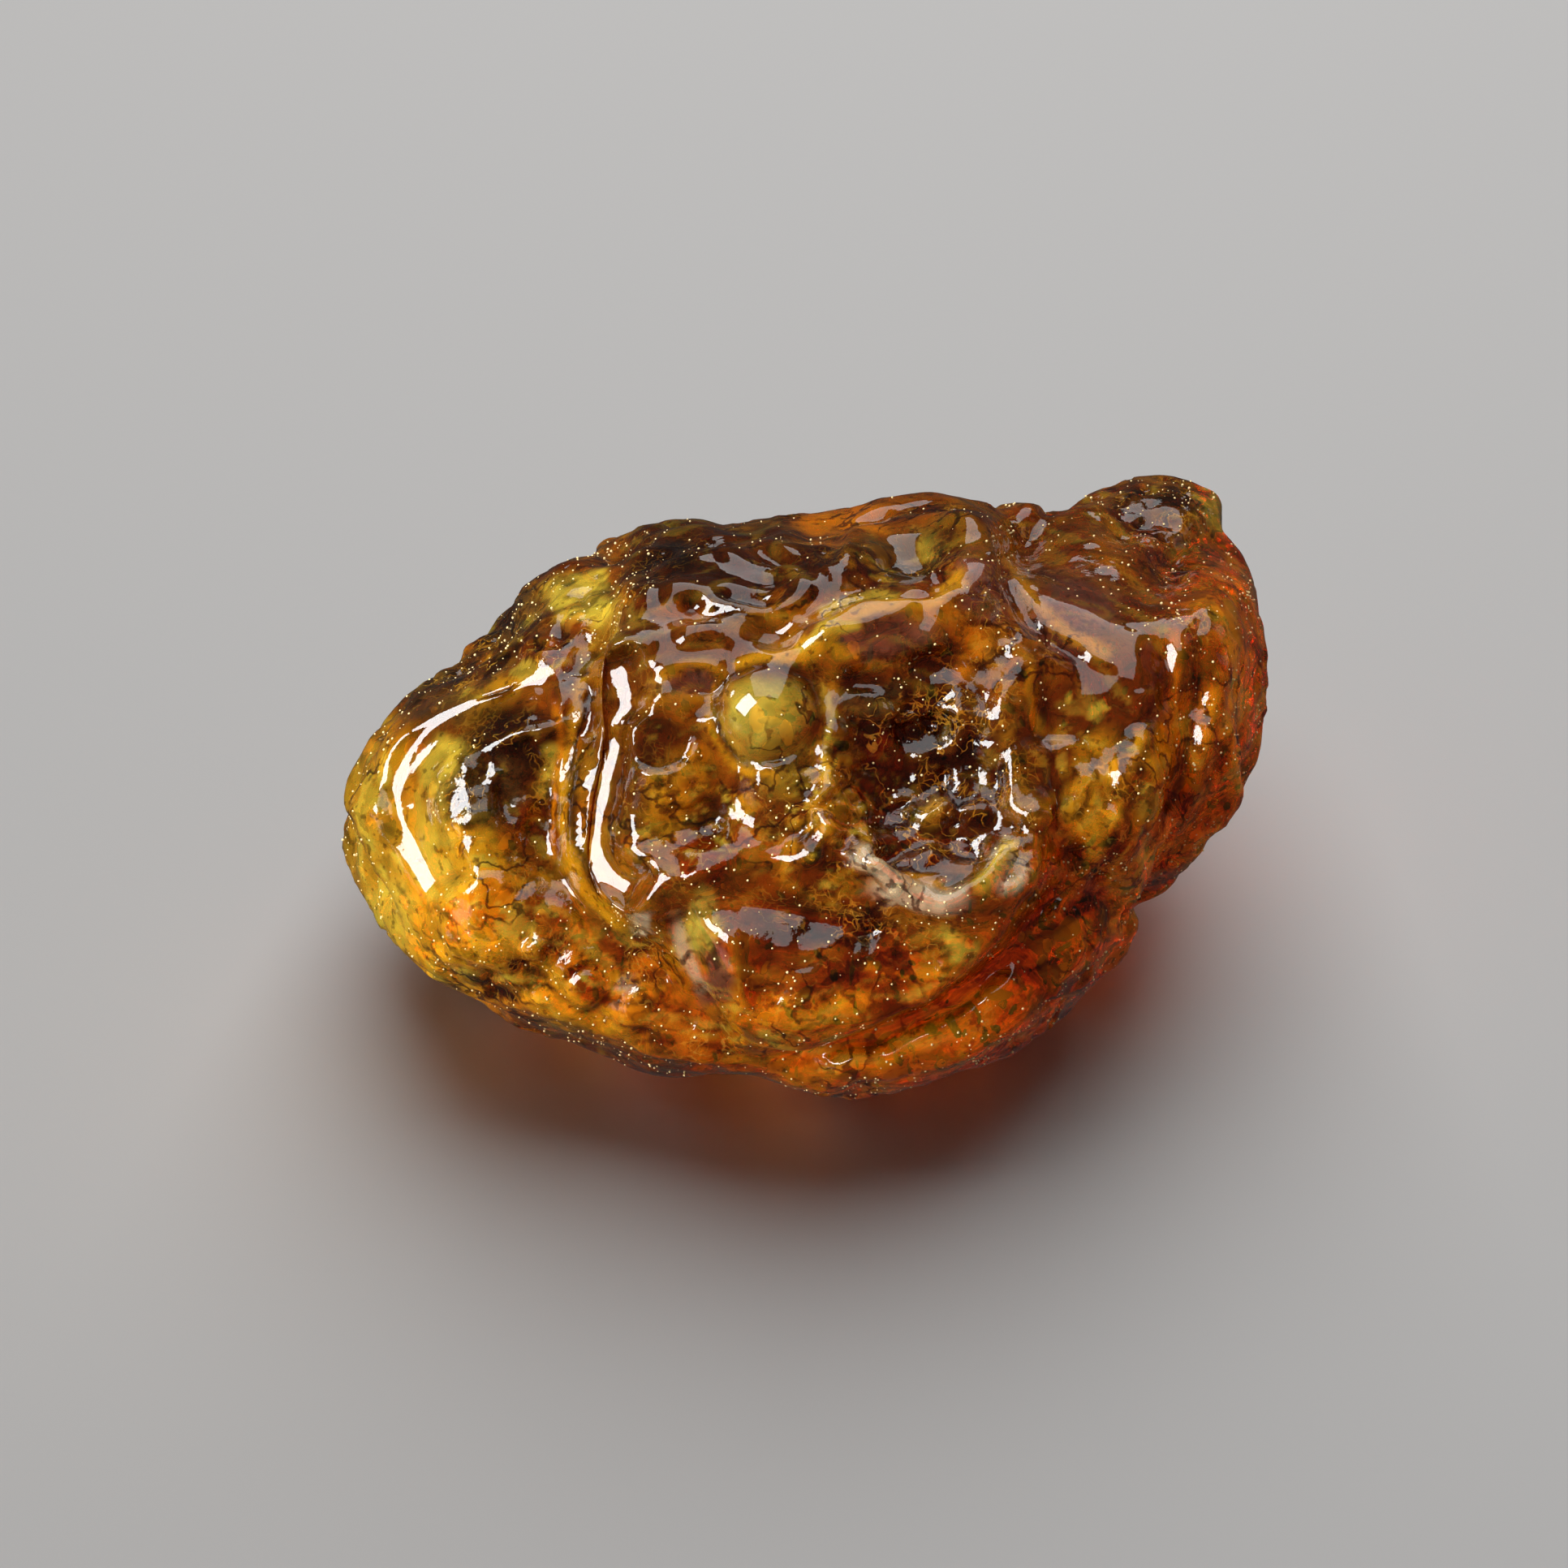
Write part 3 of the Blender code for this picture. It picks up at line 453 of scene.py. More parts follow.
# broad washes on the front, laid under the clouds: centre, half sizes, tone, strength
washes = [
    ((1.0, 15.0), (18.0, 9.0), "umber", 1.0),
    ((-4.0, 5.0), (9.0, 8.0), "russet", 0.85),
    ((9.0, 1.0), (10.0, 10.0), "umber", 0.85),
    # the gold and yellow washes at the lower left are partly the resin's own colour and partly painted glow of
    # light passing through the thin lobe
    ((-24.0, -9.0), (12.0, 8.0), "gold", 1.0),
    ((-27.0, -8.0), (7.0, 8.0), "yellow", 0.75),
    ((-29.0, 0.0), (4.0, 9.0), "gold", 0.6),
    ((-20.0, 1.0), (6.0, 6.0), "umber", 0.7),
    ((22.0, 6.0), (7.0, 10.0), "russet", 0.8),
    # the orange wash at the right end is partly the resin's own colour and partly painted glow of light passing
    # through the thin edge
    ((31.0, 4.0), (5.5, 15.0), "orange", 0.95),
    ((0.0, -13.0), (10.0, 6.0), "russet", 0.6),
    ((8.0, -20.0), (18.0, 4.5), "orange", 0.8),
    ((-14.0, -15.0), (9.0, 4.0), "orange", 0.8),
    # partly the resin's own gold and partly painted glow of light through the thin lower left
    ((-23.0, -12.0), (8.0, 5.0), "gold", 0.9),
    ((24.0, -8.0), (7.0, 8.0), "orange", 0.75),
    ((24.0, 15.0), (9.0, 7.0), "russet", 0.85),
]

# clouds on the front: centre, half sizes, tone, strength; the clouds in the sheen tone are a painted reflection of
# a soft overhead light on smooth faces
clouds = [
    ((-30.0, -3.0), (3.0, 8.0), "olive", 0.6),
    ((-24.1, 1.1), (2.2, 2.6), "yellow", 0.9),
    ((-19.0, 3.0), (4.0, 2.8), "black", 0.9),
    ((-21.1, -0.8), (4.0, 2.6), "moss", 0.8),
    ((-17.4, -3.4), (2.6, 3.0), "red", 0.8),
    ((-16.5, 1.2), (0.9, 1.8), "yellow", 0.9),
    ((-25.3, -10.9), (5.0, 3.6), "gold", 0.9),
    ((-20.4, -8.6), (3.2, 2.2), "orange", 1.0),
    ((-17.0, -9.0), (2.0, 2.0), "red", 0.8),
    ((-27.8, -9.6), (2.0, 3.0), "yellow", 0.6),
    ((-11.5, -11.3), (2.2, 1.8), "umber", 0.9),
    ((-10.0, -10.0), (0.9, 0.8), "pale", 1.0),
    ((-11.0, -14.2), (0.8, 0.7), "pale", 0.9),
    ((-14.7, 13.5), (2.6, 2.2), "yellow", 1.0),
    ((-19.3, 11.7), (3.0, 3.0), "moss", 0.7),
    ((-17.0, 9.0), (2.2, 1.8), "red", 0.8),
    ((-24.4, 6.6), (4.0, 2.6), "moss", 0.7),
    ((-6.8, 15.2), (6.0, 3.4), "umber", 0.95),
    ((0.6, 15.0), (4.0, 2.6), "umber", 0.9),
    ((-7.8, 15.6), (2.2, 1.0), "black", 0.9),
    ((-3.8, 13.0), (2.6, 0.8), "black", 0.8),
    ((3.8, 18.7), (3.6, 1.4), "orange", 0.9),
    ((8.9, 16.0), (3.2, 2.2), "moss", 0.7),
    ((14.4, 14.0), (1.8, 2.6), "mauve", 0.9),
    ((7.0, 10.4), (5.0, 1.2), "mauve", 0.9),
    ((1.5, 9.4), (3.4, 0.7), "gold", 0.9),
    ((-6.3, 8.9), (4.4, 1.6), "brown", 0.9),
    ((-6.8, 6.9), (3.0, 1.2), "mauve", 0.9),
    ((-8.9, 3.4), (2.4, 2.4), "umber", 0.9),
    ((-7.3, -0.3), (2.6, 3.0), "gold", 0.7),
    ((-5.0, -2.4), (1.8, 2.4), "black", 0.8),
    ((-5.9, -5.2), (2.4, 2.0), "red", 0.9),
    ((-1.2, 4.9), (3.4, 3.4), "green", 1.0),
    ((0.6, 5.6), (1.6, 1.8), "yellow", 0.6),
    ((0.1, 1.4), (2.4, 3.0), "olive", 0.9),
    ((9.4, 1.8), (7.0, 7.4), "umber", 1.0),
    ((9.8, 3.0), (4.6, 4.6), "black", 0.9),
    ((7.2, 2.0), (1.8, 1.4), "red", 0.9),
    ((12.8, -2.4), (3.2, 2.4), "umber", 0.9),
    ((9.8, -2.0), (1.8, 1.2), "olive", 0.8),
    ((6.1, 5.6), (1.8, 1.6), "moss", 0.8),
    ((9.3, -7.6), (4.0, 0.9), "pale", 0.9),
    ((15.8, -5.8), (1.2, 2.2), "pale", 0.9),
    ((3.8, -1.2), (1.4, 2.6), "gold", 0.8),
    ((-5.9, -9.7), (1.8, 2.4), "green", 0.9),
    ((1.0, -9.5), (4.0, 2.4), "umber", 0.8),
    ((5.6, -10.4), (2.4, 1.6), "black", 0.8),
    ((-5.0, -13.6), (1.4, 2.4), "mauve", 0.8),
    ((-2.2, -15.4), (2.2, 2.2), "orange", 0.7),
    ((3.8, -16.0), (3.0, 1.6), "gold", 0.8),
    # painted glint: a small bright yellow spot standing in for a highlight
    ((12.6, -11.8), (1.4, 1.0), "yellow", 1.0),
    ((7.0, -19.8), (5.0, 1.6), "orange", 0.9),
    ((16.2, -15.6), (3.0, 2.0), "orange", 0.7),
    ((19.9, -11.3), (2.2, 2.2), "orange", 0.7),
    ((-19.3, -14.1), (2.6, 1.2), "umber", 0.8),
    ((-14.1, -14.3), (1.7, 1.7), "red", 0.9),
    ((5.4, 7.6), (2.6, 1.1), "umber", 0.9),
    ((10.6, 8.6), (2.6, 1.6), "umber", 0.9),
    ((3.0, 6.2), (1.0, 2.2), "gold", 0.6),
    ((13.4, 9.4), (1.0, 2.2), "orange", 0.6),
    ((8.2, 6.4), (1.6, 0.8), "moss", 0.8),
    ((-15.1, -16.6), (2.8, 1.4), "gold", 0.8),
    ((-9.6, -19.6), (3.4, 1.6), "brown", 0.8),
    ((19.9, 10.8), (2.4, 2.2), "mauve", 0.8),
    ((23.6, 6.4), (5.0, 3.6), "russet", 0.85),
    ((20.6, 12.6), (3.4, 3.0), "mauve", 0.7),
    ((20.2, 6.0), (0.6, 0.4), "yellow", 0.9),
    ((22.1, 5.2), (0.4, 0.4), "yellow", 0.9),
    ((25.9, 2.5), (1.8, 1.8), "gold", 1.0),
    ((22.2, 1.2), (1.6, 3.0), "gold", 0.7),
    ((20.8, -3.0), (2.2, 3.2), "gold", 0.7),
    ((26.8, -3.9), (2.0, 3.0), "orange", 0.8),
    # painted glint: a bright orange spot standing in for light caught in the resin
    ((31.4, 14.5), (1.2, 1.8), "orange", 1.0),
    ((32.8, 6.2), (1.3, 5.0), "orange", 1.0),
    ((31.2, 1.4), (1.2, 3.0), "orange", 1.0),
    ((29.0, -2.6), (1.4, 2.4), "orange", 0.9),
    ((29.6, 9.4), (1.6, 3.6), "umber", 0.7),
    ((19.0, 16.4), (3.0, 1.6), "russet", 0.7),
    ((26.0, 19.6), (3.2, 2.0), "umber", 0.8),
    ((30.4, 19.6), (1.6, 1.6), "green", 0.7),
    ((27.8, 16.4), (2.6, 1.6), "brown", 0.9),
]

# where golden strands are thick: centre, half sizes, share
goldenZones = [
    ((-25.0, -10.0), (12.0, 9.0), 1.0),
    ((-30.0, 2.0), (5.0, 9.0), 0.7),
    ((-14.0, -15.0), (10.0, 5.0), 0.7),
    ((10.0, -18.0), (20.0, 5.0), 0.75),
    ((3.4, -1.6), (3.6, 7.0), 0.9),
    ((23.0, -2.0), (8.0, 10.0), 0.6),
    ((31.0, 2.0), (6.0, 14.0), 0.7),
    ((-7.0, -2.0), (5.0, 4.0), 0.7),
    ((-20.0, 9.0), (8.0, 4.0), 0.6),
    ((8.0, 16.0), (3.0, 2.0), 0.7),
    ((26.0, 19.0), (6.0, 3.0), 0.35),
]

# coloured lines in the skin: reach, line, tone, strength
veins = [
    (0.75, [(4.9, -4.0), (6.7, -6.1), (9.0, -7.9), (11.4, -8.4), (13.4, -7.9)], "pale", 1.0),
    (0.60, [(13.4, -7.9), (15.0, -6.2), (16.4, -3.6)], "yellow", 0.8),
    (0.30, [(5.4, -3.4), (7.4, -5.4), (9.6, -6.9), (12.0, -7.4)], "gold", 0.9),
    (0.30, [(6.4, -3.2), (8.4, -5.2), (10.6, -6.2), (13.0, -6.6)], "black", 0.8),
    (0.40, [(2.2, 9.8), (4.6, 11.6), (7.6, 12.2), (11.0, 12.8), (13.4, 15.0)], "gold", 0.9),
    (0.30, [(0.6, 9.2), (3.0, 10.8), (5.6, 11.2)], "yellow", 0.8),
    (0.50, [(2.4, 12.0), (5.4, 12.9), (8.2, 12.9)], "yellow", 0.7),
    (0.45, [(-3.8, 8.2), (-1.4, 9.0), (0.6, 8.6)], "gold", 0.9),
    (0.35, [(-4.9, 5.8), (-4.3, 3.4), (-2.9, 1.6), (-0.8, 1.2)], "yellow", 0.6),
    (0.40, [(-14.1, 8.4), (-15.0, 4.4), (-15.4, 0.4), (-15.2, -4.2), (-13.4, -8.0), (-10.6, -10.8)], "gold", 0.8),
    (0.30, [(-13.5, 7.6), (-14.4, 4.0), (-14.8, 0.0), (-14.6, -4.4), (-12.6, -8.0)], "black", 0.85),
    (0.30, [(-16.2, 6.0), (-16.0, 2.0), (-16.4, -2.0), (-16.2, -6.0)], "orange", 0.8),
    (0.45, [(15.4, 16.6), (17.4, 13.4), (20.0, 10.8), (23.6, 8.6)], "gold", 0.7),
    (0.35, [(19.4, 2.4), (18.2, 4.0), (17.4, 6.4), (17.6, 8.6)], "gold", 0.7),
    (0.40, [(24.4, -2.0), (23.8, 1.0), (24.6, 4.0)], "umber", 0.7),
    (0.55, [(10.8, -10.2), (12.4, -11.6), (13.6, -13.0)], "yellow", 0.9),
    (0.40, [(5.4, -12.6), (8.4, -13.6), (11.4, -13.2)], "gold", 0.7),
    (0.45, [(-7.9, -9.2), (-6.9, -12.2), (-5.6, -15.0)], "pale", 0.6),
    (0.40, [(26.8, 9.4), (26.0, 5.0), (25.2, 1.0), (23.2, -4.4), (21.0, -8.0)], "umber", 0.85),
    (0.35, [(29.2, 9.0), (28.8, 4.0), (27.4, -1.0), (25.4, -5.0)], "black", 0.8),
    (0.45, [(30.6, 11.4), (30.8, 6.0), (29.8, 1.4), (27.8, -3.0)], "red", 0.7),
    (0.40, [(31.6, 13.6), (32.0, 8.0), (31.6, 3.0)], "gold", 0.7),
    (0.35, [(27.8, 11.0), (27.4, 7.0), (26.6, 3.0)], "orange", 0.8),
    (0.40, [(22.6, -1.0), (21.8, -4.6), (19.6, -8.4), (16.8, -11.6)], "gold", 0.7),
    (0.35, [(17.4, 10.4), (18.4, 7.0), (18.6, 3.0), (17.8, -1.6)], "umber", 0.7),
    (0.38, [(-22.8, -13.4), (-20.8, -14.4), (-18.6, -15.6)], "black", 0.9),
    (0.34, [(-19.8, -12.6), (-18.0, -13.4), (-16.4, -13.2)], "black", 0.9),
    (0.30, [(-12.2, -12.0), (-10.8, -14.2), (-8.8, -16.4)], "black", 0.8),
    (0.45, [(-21.0, -11.0), (-17.6, -12.0), (-14.0, -16.2), (-10.0, -18.0)], "gold", 0.7),
    (0.25, [(-4.4, 7.6), (-5.3, 5.2), (-4.7, 2.6), (-2.8, 0.9), (-0.2, 0.5)], "gold", 0.8),
    (0.25, [(2.6, 7.6), (3.4, 5.0), (2.8, 2.2), (3.2, -0.6)], "yellow", 0.7),
    (0.35, [(-9.2, 7.0), (-6.6, 8.4), (-4.0, 7.4), (-5.6, 5.9), (-8.6, 6.2)], "gold", 0.5),
]


def mixed(colours, tone, weight):
    return colours + (np.array(tones[tone]) - colours) * np.asarray(weight)[:, None]


def amberTones(points, outward, places, facing, rough, hollow):
    broad = noiseField(points, 8 * mm, 21.0)
    middle = noiseField(points, 3.4 * mm, 33.0)
    small = noiseField(points, 1.5 * mm, 47.0)
    other = noiseField(points, 6 * mm, 61.0)
    longStrands = strandField(points, places, 6.0, 1.7, 83.0)
    fineStrands = strandField(points, places, 3.2, 0.8, 93.0)
    # painted glow: the colour is lifted towards orange and gold on the side facing away from the key light and
    # near the bottom, standing in for light passing through thin resin
    shade = easeStep(0.45, -0.25, outward @ np.array(amberBody["lightFrom"]))
    low = 1.0 - easeStep(3 * mm, 15 * mm, points[:, 2])
    paintedGlow = np.clip(0.75 * shade + 0.5 * low, 0.0, 1.0)       # painted glow, on the side away from the key light and in thin low edges
    front = easeStep(0.0, 0.25, facing)
    strayed = places + 2.4 * wander(points, 7 * mm, 137.0) + 1.2 * wander(points, 2.4 * mm, 149.0)
    ragged = places + 0.9 * wander(points, 2.6 * mm, 71.0) + 0.5 * wander(points, 0.9 * mm, 91.0)
    golden = 0.5 - 0.32 * front
    for centre, halves, share in goldenZones:
        golden = np.maximum(golden, front * share * patch(strayed, centre, halves, 0.5))

    colours = np.tile(tones["brown"], (len(points), 1))
    for centre, halves, tone, strength in washes:
        colours = mixed(colours, tone, front * strength * patch(strayed, centre, halves, 0.4))
    plain = 1.0 - 0.55 * front
    # the orange, umber and gold below follow the painted glow as well as the noise
    colours = mixed(colours, "orange", 0.85 * plain * easeStep(0.0, 0.4, broad + 0.5 * middle + 0.35 * paintedGlow))
    muted = 1.0 - 0.8 * golden
    colours = mixed(colours, "olive", 0.22 * easeStep(0.16, 0.42, other + 0.3 * small))
    colours = mixed(colours, "red", 0.6 * muted * easeStep(0.14, 0.40, -other + 0.4 * middle))
    deep = easeStep(0.02, 0.32, -broad + 0.5 * small - 0.25 * paintedGlow)
    colours = mixed(colours, "umber", 0.8 * plain * muted * deep)
    colours = mixed(colours, "gold", 0.85 * golden * easeStep(0.04, 0.20, longStrands + 0.4 * small + 0.15 * paintedGlow))
    for centre, halves, tone, strength in clouds:
        colours = mixed(colours, tone, front * strength * patch(ragged, centre, halves))
    lively = 0.25 + 0.75 * np.minimum(rough, 1.0)
    dark = easeStep(0.14, 0.24, -longStrands + 0.4 * fineStrands - 0.22 * golden)
    colours = mixed(colours, "umber", 0.8 * lively * dark)
    colours = mixed(colours, "black", 0.9 * lively * easeStep(0.19, 0.29, -fineStrands - 0.12 * golden))
    colours = mixed(colours, "yellow", 0.75 * golden * easeStep(0.26, 0.36, fineStrands))
    for reach, line, tone, strength in veins:
        distance, fraction = lineReach(places + 0.35 * wander(points, 1.8 * mm, 161.0), line)
        weight = np.exp(-(distance / reach) ** 4) * endTaper(fraction, 0.1)
        colours = mixed(colours, tone, front * strength * weight)
    bubbleCentre, bubbleRadius, *_ = blisters["bubble"]
    rim = np.linalg.norm(places - bubbleCentre, axis=1) / bubbleRadius
    colours = mixed(colours, "umber", 0.8 * front * np.exp(-((rim - 1.02) / 0.10) ** 2))
    # painted shade: black deepens the skin's small hollows; painted glow: gold lifts its small ridges, where light
    # would pass through thin resin
    colours = mixed(colours, "black", 0.7 * easeStep(0.05, 0.30, hollow))
    colours = mixed(colours, "gold", 0.4 * golden * easeStep(0.06, 0.25, -hollow))
    return colours


def storeColour(mesh, name, colours):
    layer = mesh.color_attributes.new(name, "FLOAT_COLOR", "POINT")
    layer.data.foreach_set("color", np.column_stack((colours, np.ones(len(colours)))).ravel())


def storeShare(mesh, name, values):
    mesh.attributes.new(name, "FLOAT", "POINT").data.foreach_set("value", values.astype(np.float32))


def newMaterial(name, **values):
    material = bpy.data.materials.new(name)
    material.use_nodes = True
    nodes = material.node_tree.nodes
    shader = nodes["Principled BSDF"]
    for label, value in values.items():
        shader.inputs[label.replace("_", " ")].default_value = value
    return material, nodes, material.node_tree.links, shader


def newGroup(name, kind, inputs, outputs):
    # a node group with named sockets; inputs hold their kind and resting value
    tree = bpy.data.node_groups.new(name, kind)
    for label, (socketKind, value) in inputs.items():
        socket = tree.interface.new_socket(label, in_out="INPUT", socket_type="NodeSocket" + socketKind)
        if value is not None:
            socket.default_value = value
    for label, socketKind in outputs.items():
        tree.interface.new_socket(label, in_out="OUTPUT", socket_type="NodeSocket" + socketKind)
    return tree, tree.nodes.new("NodeGroupInput"), tree.nodes.new("NodeGroupOutput")


def node(tree, kind, settings=None, **sockets):
    # adds a node, then sets or links its inputs by name
    made = tree.nodes.new(kind)
    for label, value in (settings or {}).items():
        setattr(made, label, value)
    for label, value in sockets.items():
        socket = made.inputs[int(label[2:])] if label.startswith("in") else made.inputs[label.replace("_", " ")]
        if isinstance(value, bpy.types.NodeSocket):
            tree.links.new(value, socket)
        else:
            socket.default_value = value
    return made


def maths(tree, operation, *values, clamp=False):
    # the result of a math node on numbers or sockets
    sockets = {f"in{k}": value for k, value in enumerate(values)}
    return node(tree, "ShaderNodeMath", {"operation": operation, "use_clamp": clamp}, **sockets).outputs[0]


def vectorMaths(tree, operation, *values):
    sockets = {f"in{k}": value for k, value in enumerate(values)}
    made = node(tree, "ShaderNodeVectorMath", {"operation": operation}, **sockets)
    return made.outputs["Value" if operation == "DOT_PRODUCT" else "Vector"]


def scaled(tree, vector, factor):
    return node(tree, "ShaderNodeVectorMath", {"operation": "SCALE"}, in0=vector, Scale=factor).outputs["Vector"]


def easedRamp(tree, value, start, end, top=1.0):
    # smooth from 0 at the start to the top at the end
    return node(tree, "ShaderNodeMapRange", {"interpolation_type": "SMOOTHSTEP"}, Value=value, From_Min=start,
                From_Max=end, To_Min=0.0, To_Max=top).outputs["Result"]


def overlaid(tree, share, under, tone):
    return node(tree, "ShaderNodeMix", {"data_type": "RGBA"}, in0=share, in6=under, in7=(*tone, 1.0)).outputs[2]


def contourLines(tree, place, scale, width, strength):
    # thin wandering lines where a noise passes its middle value, broken up by a second noise
    field = node(tree, "ShaderNodeTexNoise", Vector=place, Scale=scale, Detail=1.5)
    distance = maths(tree, "ABSOLUTE", maths(tree, "SUBTRACT", field.outputs["Fac"], 0.5))
    line = easedRamp(tree, distance, width, 0.3 * width, strength)
    gaps = node(tree, "ShaderNodeTexNoise", Vector=place, Scale=0.45 * scale, Detail=1.0)
    return maths(tree, "MULTIPLY", line, easedRamp(tree, gaps.outputs["Fac"], 0.46, 0.60))


# the resin's small patterns: scales are repeats a metre, widths are shares of a noise's range
resinPattern = {
    "bendScale": 420.0,
    "bendReach": 3.4 * mm,
    "netScale": 1150.0,
    "netWidth": 0.07,
    "netPatches": 240.0,
    "threadScale": 640.0,
    "threadWidth": 0.020,
    "crackScale": 300.0,
    "crackWidth": 0.030,
    "dustScale": 1500.0,
    "net": (0.90, 0.44, 0.03),
    "thread": (0.98, 0.55, 0.06),
    "crack": (0.014, 0.006, 0.003),
    "dust": (0.02, 0.008, 0.003),
    "wearScale": 260.0,
}


def mottleGroup():
    # crisp little patches, golden threads and dark specks over a slower colour
    look = resinPattern
    tree, given, result = newGroup("resinMottle", "ShaderNodeTree", {
        "Place": ("Vector", None), "Tone": ("Color", (0.5, 0.2, 0.02, 1.0)), "Patch Scale": ("Float", 620.0),
        "Contrast": ("Float", 0.6), "Veined": ("Float", 1.0), "Threads": ("Float", 0.5),
        "Cracks": ("Float", 0.5), "Specks": ("Float", 0.6)}, {"Color": "Color"})
    place = given.outputs["Place"]
    bend = node(tree, "ShaderNodeTexNoise", Vector=place, Scale=look["bendScale"], Detail=3.0)
    centred = vectorMaths(tree, "SUBTRACT", bend.outputs["Color"], (0.5, 0.5, 0.5))
    shifted = vectorMaths(tree, "MULTIPLY_ADD", centred, (look["bendReach"],) * 3, place)
    cells = node(tree, "ShaderNodeTexVoronoi", {"feature": "SMOOTH_F1"}, Vector=shifted,
                 Scale=given.outputs["Patch Scale"], Smoothness=0.25)
    level = node(tree, "ShaderNodeSeparateColor", Color=cells.outputs["Color"])
    veined = maths(tree, "MULTIPLY_ADD", given.outputs["Veined"], 0.8, 0.12, clamp=True)
    contrast = maths(tree, "MULTIPLY", veined, given.outputs["Contrast"])
    strength = node(tree, "ShaderNodeMapRange", Value=level.outputs["Red"], From_Min=0.2, From_Max=0.8,
                    To_Min=maths(tree, "SUBTRACT", 1.0, contrast), To_Max=maths(tree, "ADD", 1.0, contrast))
    threads = maths(tree, "MULTIPLY", veined, given.outputs["Threads"])
    edges = node(tree, "ShaderNodeTexVoronoi", {"feature": "DISTANCE_TO_EDGE"}, Vector=shifted,
                 Scale=look["netScale"])
    clusters = node(tree, "ShaderNodeTexNoise", Vector=place, Scale=look["netPatches"], Detail=2.0)
    netted = easedRamp(tree, clusters.outputs["Fac"], 0.54, 0.62, threads)
    dust = node(tree, "ShaderNodeTexNoise", Vector=place, Scale=look["dustScale"], Detail=2.0)
    shares = {
        "net": easedRamp(tree, edges.outputs["Distance"], look["netWidth"], 0.015, netted),
        "thread": contourLines(tree, shifted, look["threadScale"], look["threadWidth"], threads),
        "crack": contourLines(tree, shifted, look["crackScale"], look["crackWidth"], given.outputs["Cracks"]),
        "dust": easedRamp(tree, dust.outputs["Fac"], 0.60, 0.68, given.outputs["Specks"]),
    }
    colour = scaled(tree, given.outputs["Tone"], strength.outputs["Result"])
    for name, share in shares.items():
        colour = overlaid(tree, share, colour, look[name])
    tree.links.new(colour, result.inputs["Color"])
    return tree


def skinGroup():
    # small knobs of the skin, as a height and as a change of gloss
    tree, given, result = newGroup("resinSkin", "ShaderNodeTree", {
        "Place": ("Vector", None), "Rough": ("Float", 0.5), "Scale": ("Float", 900.0),
        "Gloss": ("Float", 0.03), "Dulled": ("Float", 0.13)}, {"Height": "Float", "Roughness": "Float"})
    knobs = node(tree, "ShaderNodeTexNoise", Vector=given.outputs["Place"], Scale=given.outputs["Scale"],
                 Detail=3.0, Roughness=0.55)
    share = maths(tree, "MULTIPLY_ADD", given.outputs["Rough"], 0.85, 0.05, clamp=True)
    height = maths(tree, "MULTIPLY", knobs.outputs["Fac"], share)
    wear = node(tree, "ShaderNodeTexNoise", Vector=given.outputs["Place"], Scale=resinPattern["wearScale"],
                Detail=2.0)
    worn = maths(tree, "MULTIPLY", wear.outputs["Fac"], share)
    gloss = node(tree, "ShaderNodeMapRange", Value=worn, From_Min=0.0, From_Max=0.8,
                 To_Min=given.outputs["Gloss"], To_Max=given.outputs["Dulled"])
    tree.links.new(height, result.inputs["Height"])
    tree.links.new(gloss.outputs["Result"], result.inputs["Roughness"])
    return tree


resinMottle = mottleGroup()
resinSkin = skinGroup()

amberLook = {
    "transmission": 0.72,
    "ior": 1.54,
    "absorption": (0.96, 0.74, 0.08),
    "density": 170.0,
    "patchScale": 900.0,
    "contrast": 0.38,
    "threads": 0.7,
    "cracks": 0.8,
    "specks": 0.55,
    "bump": 0.16 * mm,
}


def groupNode(nodes, tree, **sockets):
    made = nodes.new("ShaderNodeGroup")
    made.node_tree = tree
    for label, value in sockets.items():
        made.inputs[label.replace("_", " ")].default_value = value
    return made


def amberMaterial():
    material, nodes, links, shader = newMaterial("clearAmber", Transmission_Weight=amberLook["transmission"],
                                                 IOR=amberLook["ior"])
    place = nodes.new("ShaderNodeTexCoord").outputs["Object"]
    tone = nodes.new("ShaderNodeAttribute")
    tone.attribute_name = "tone"
    rough = nodes.new("ShaderNodeAttribute")
    rough.attribute_name = "rough"
    mottle = groupNode(nodes, resinMottle, Patch_Scale=amberLook["patchScale"], Contrast=amberLook["contrast"],
                       Threads=amberLook["threads"], Cracks=amberLook["cracks"], Specks=amberLook["specks"])
    links.new(place, mottle.inputs["Place"])
    links.new(tone.outputs["Color"], mottle.inputs["Tone"])
    links.new(rough.outputs["Fac"], mottle.inputs["Veined"])
    links.new(mottle.outputs["Color"], shader.inputs["Base Color"])
    skin = groupNode(nodes, resinSkin)
    links.new(place, skin.inputs["Place"])
    links.new(rough.outputs["Fac"], skin.inputs["Rough"])
    links.new(skin.outputs["Roughness"], shader.inputs["Roughness"])
    bump = nodes.new("ShaderNodeBump")
    bump.inputs["Strength"].default_value = 0.6
    bump.inputs["Distance"].default_value = amberLook["bump"]
    links.new(skin.outputs["Height"], bump.inputs["Height"])
    links.new(bump.outputs["Normal"], shader.inputs["Normal"])
    soak = nodes.new("ShaderNodeVolumeAbsorption")
    soak.inputs["Color"].default_value = (*amberLook["absorption"], 1.0)
    soak.inputs["Density"].default_value = amberLook["density"]
    links.new(soak.outputs["Volume"], nodes["Material Output"].inputs["Volume"])
    return material


body, points, outward, places, facing, calm, rough, hollow = amberMesh()
storeColour(body.data, "tone", amberTones(points, outward, places, facing, rough, hollow))
storeShare(body.data, "rough", rough)
body.data.materials.append(amberMaterial())
print("amber body", len(body.data.polygons), "faces")


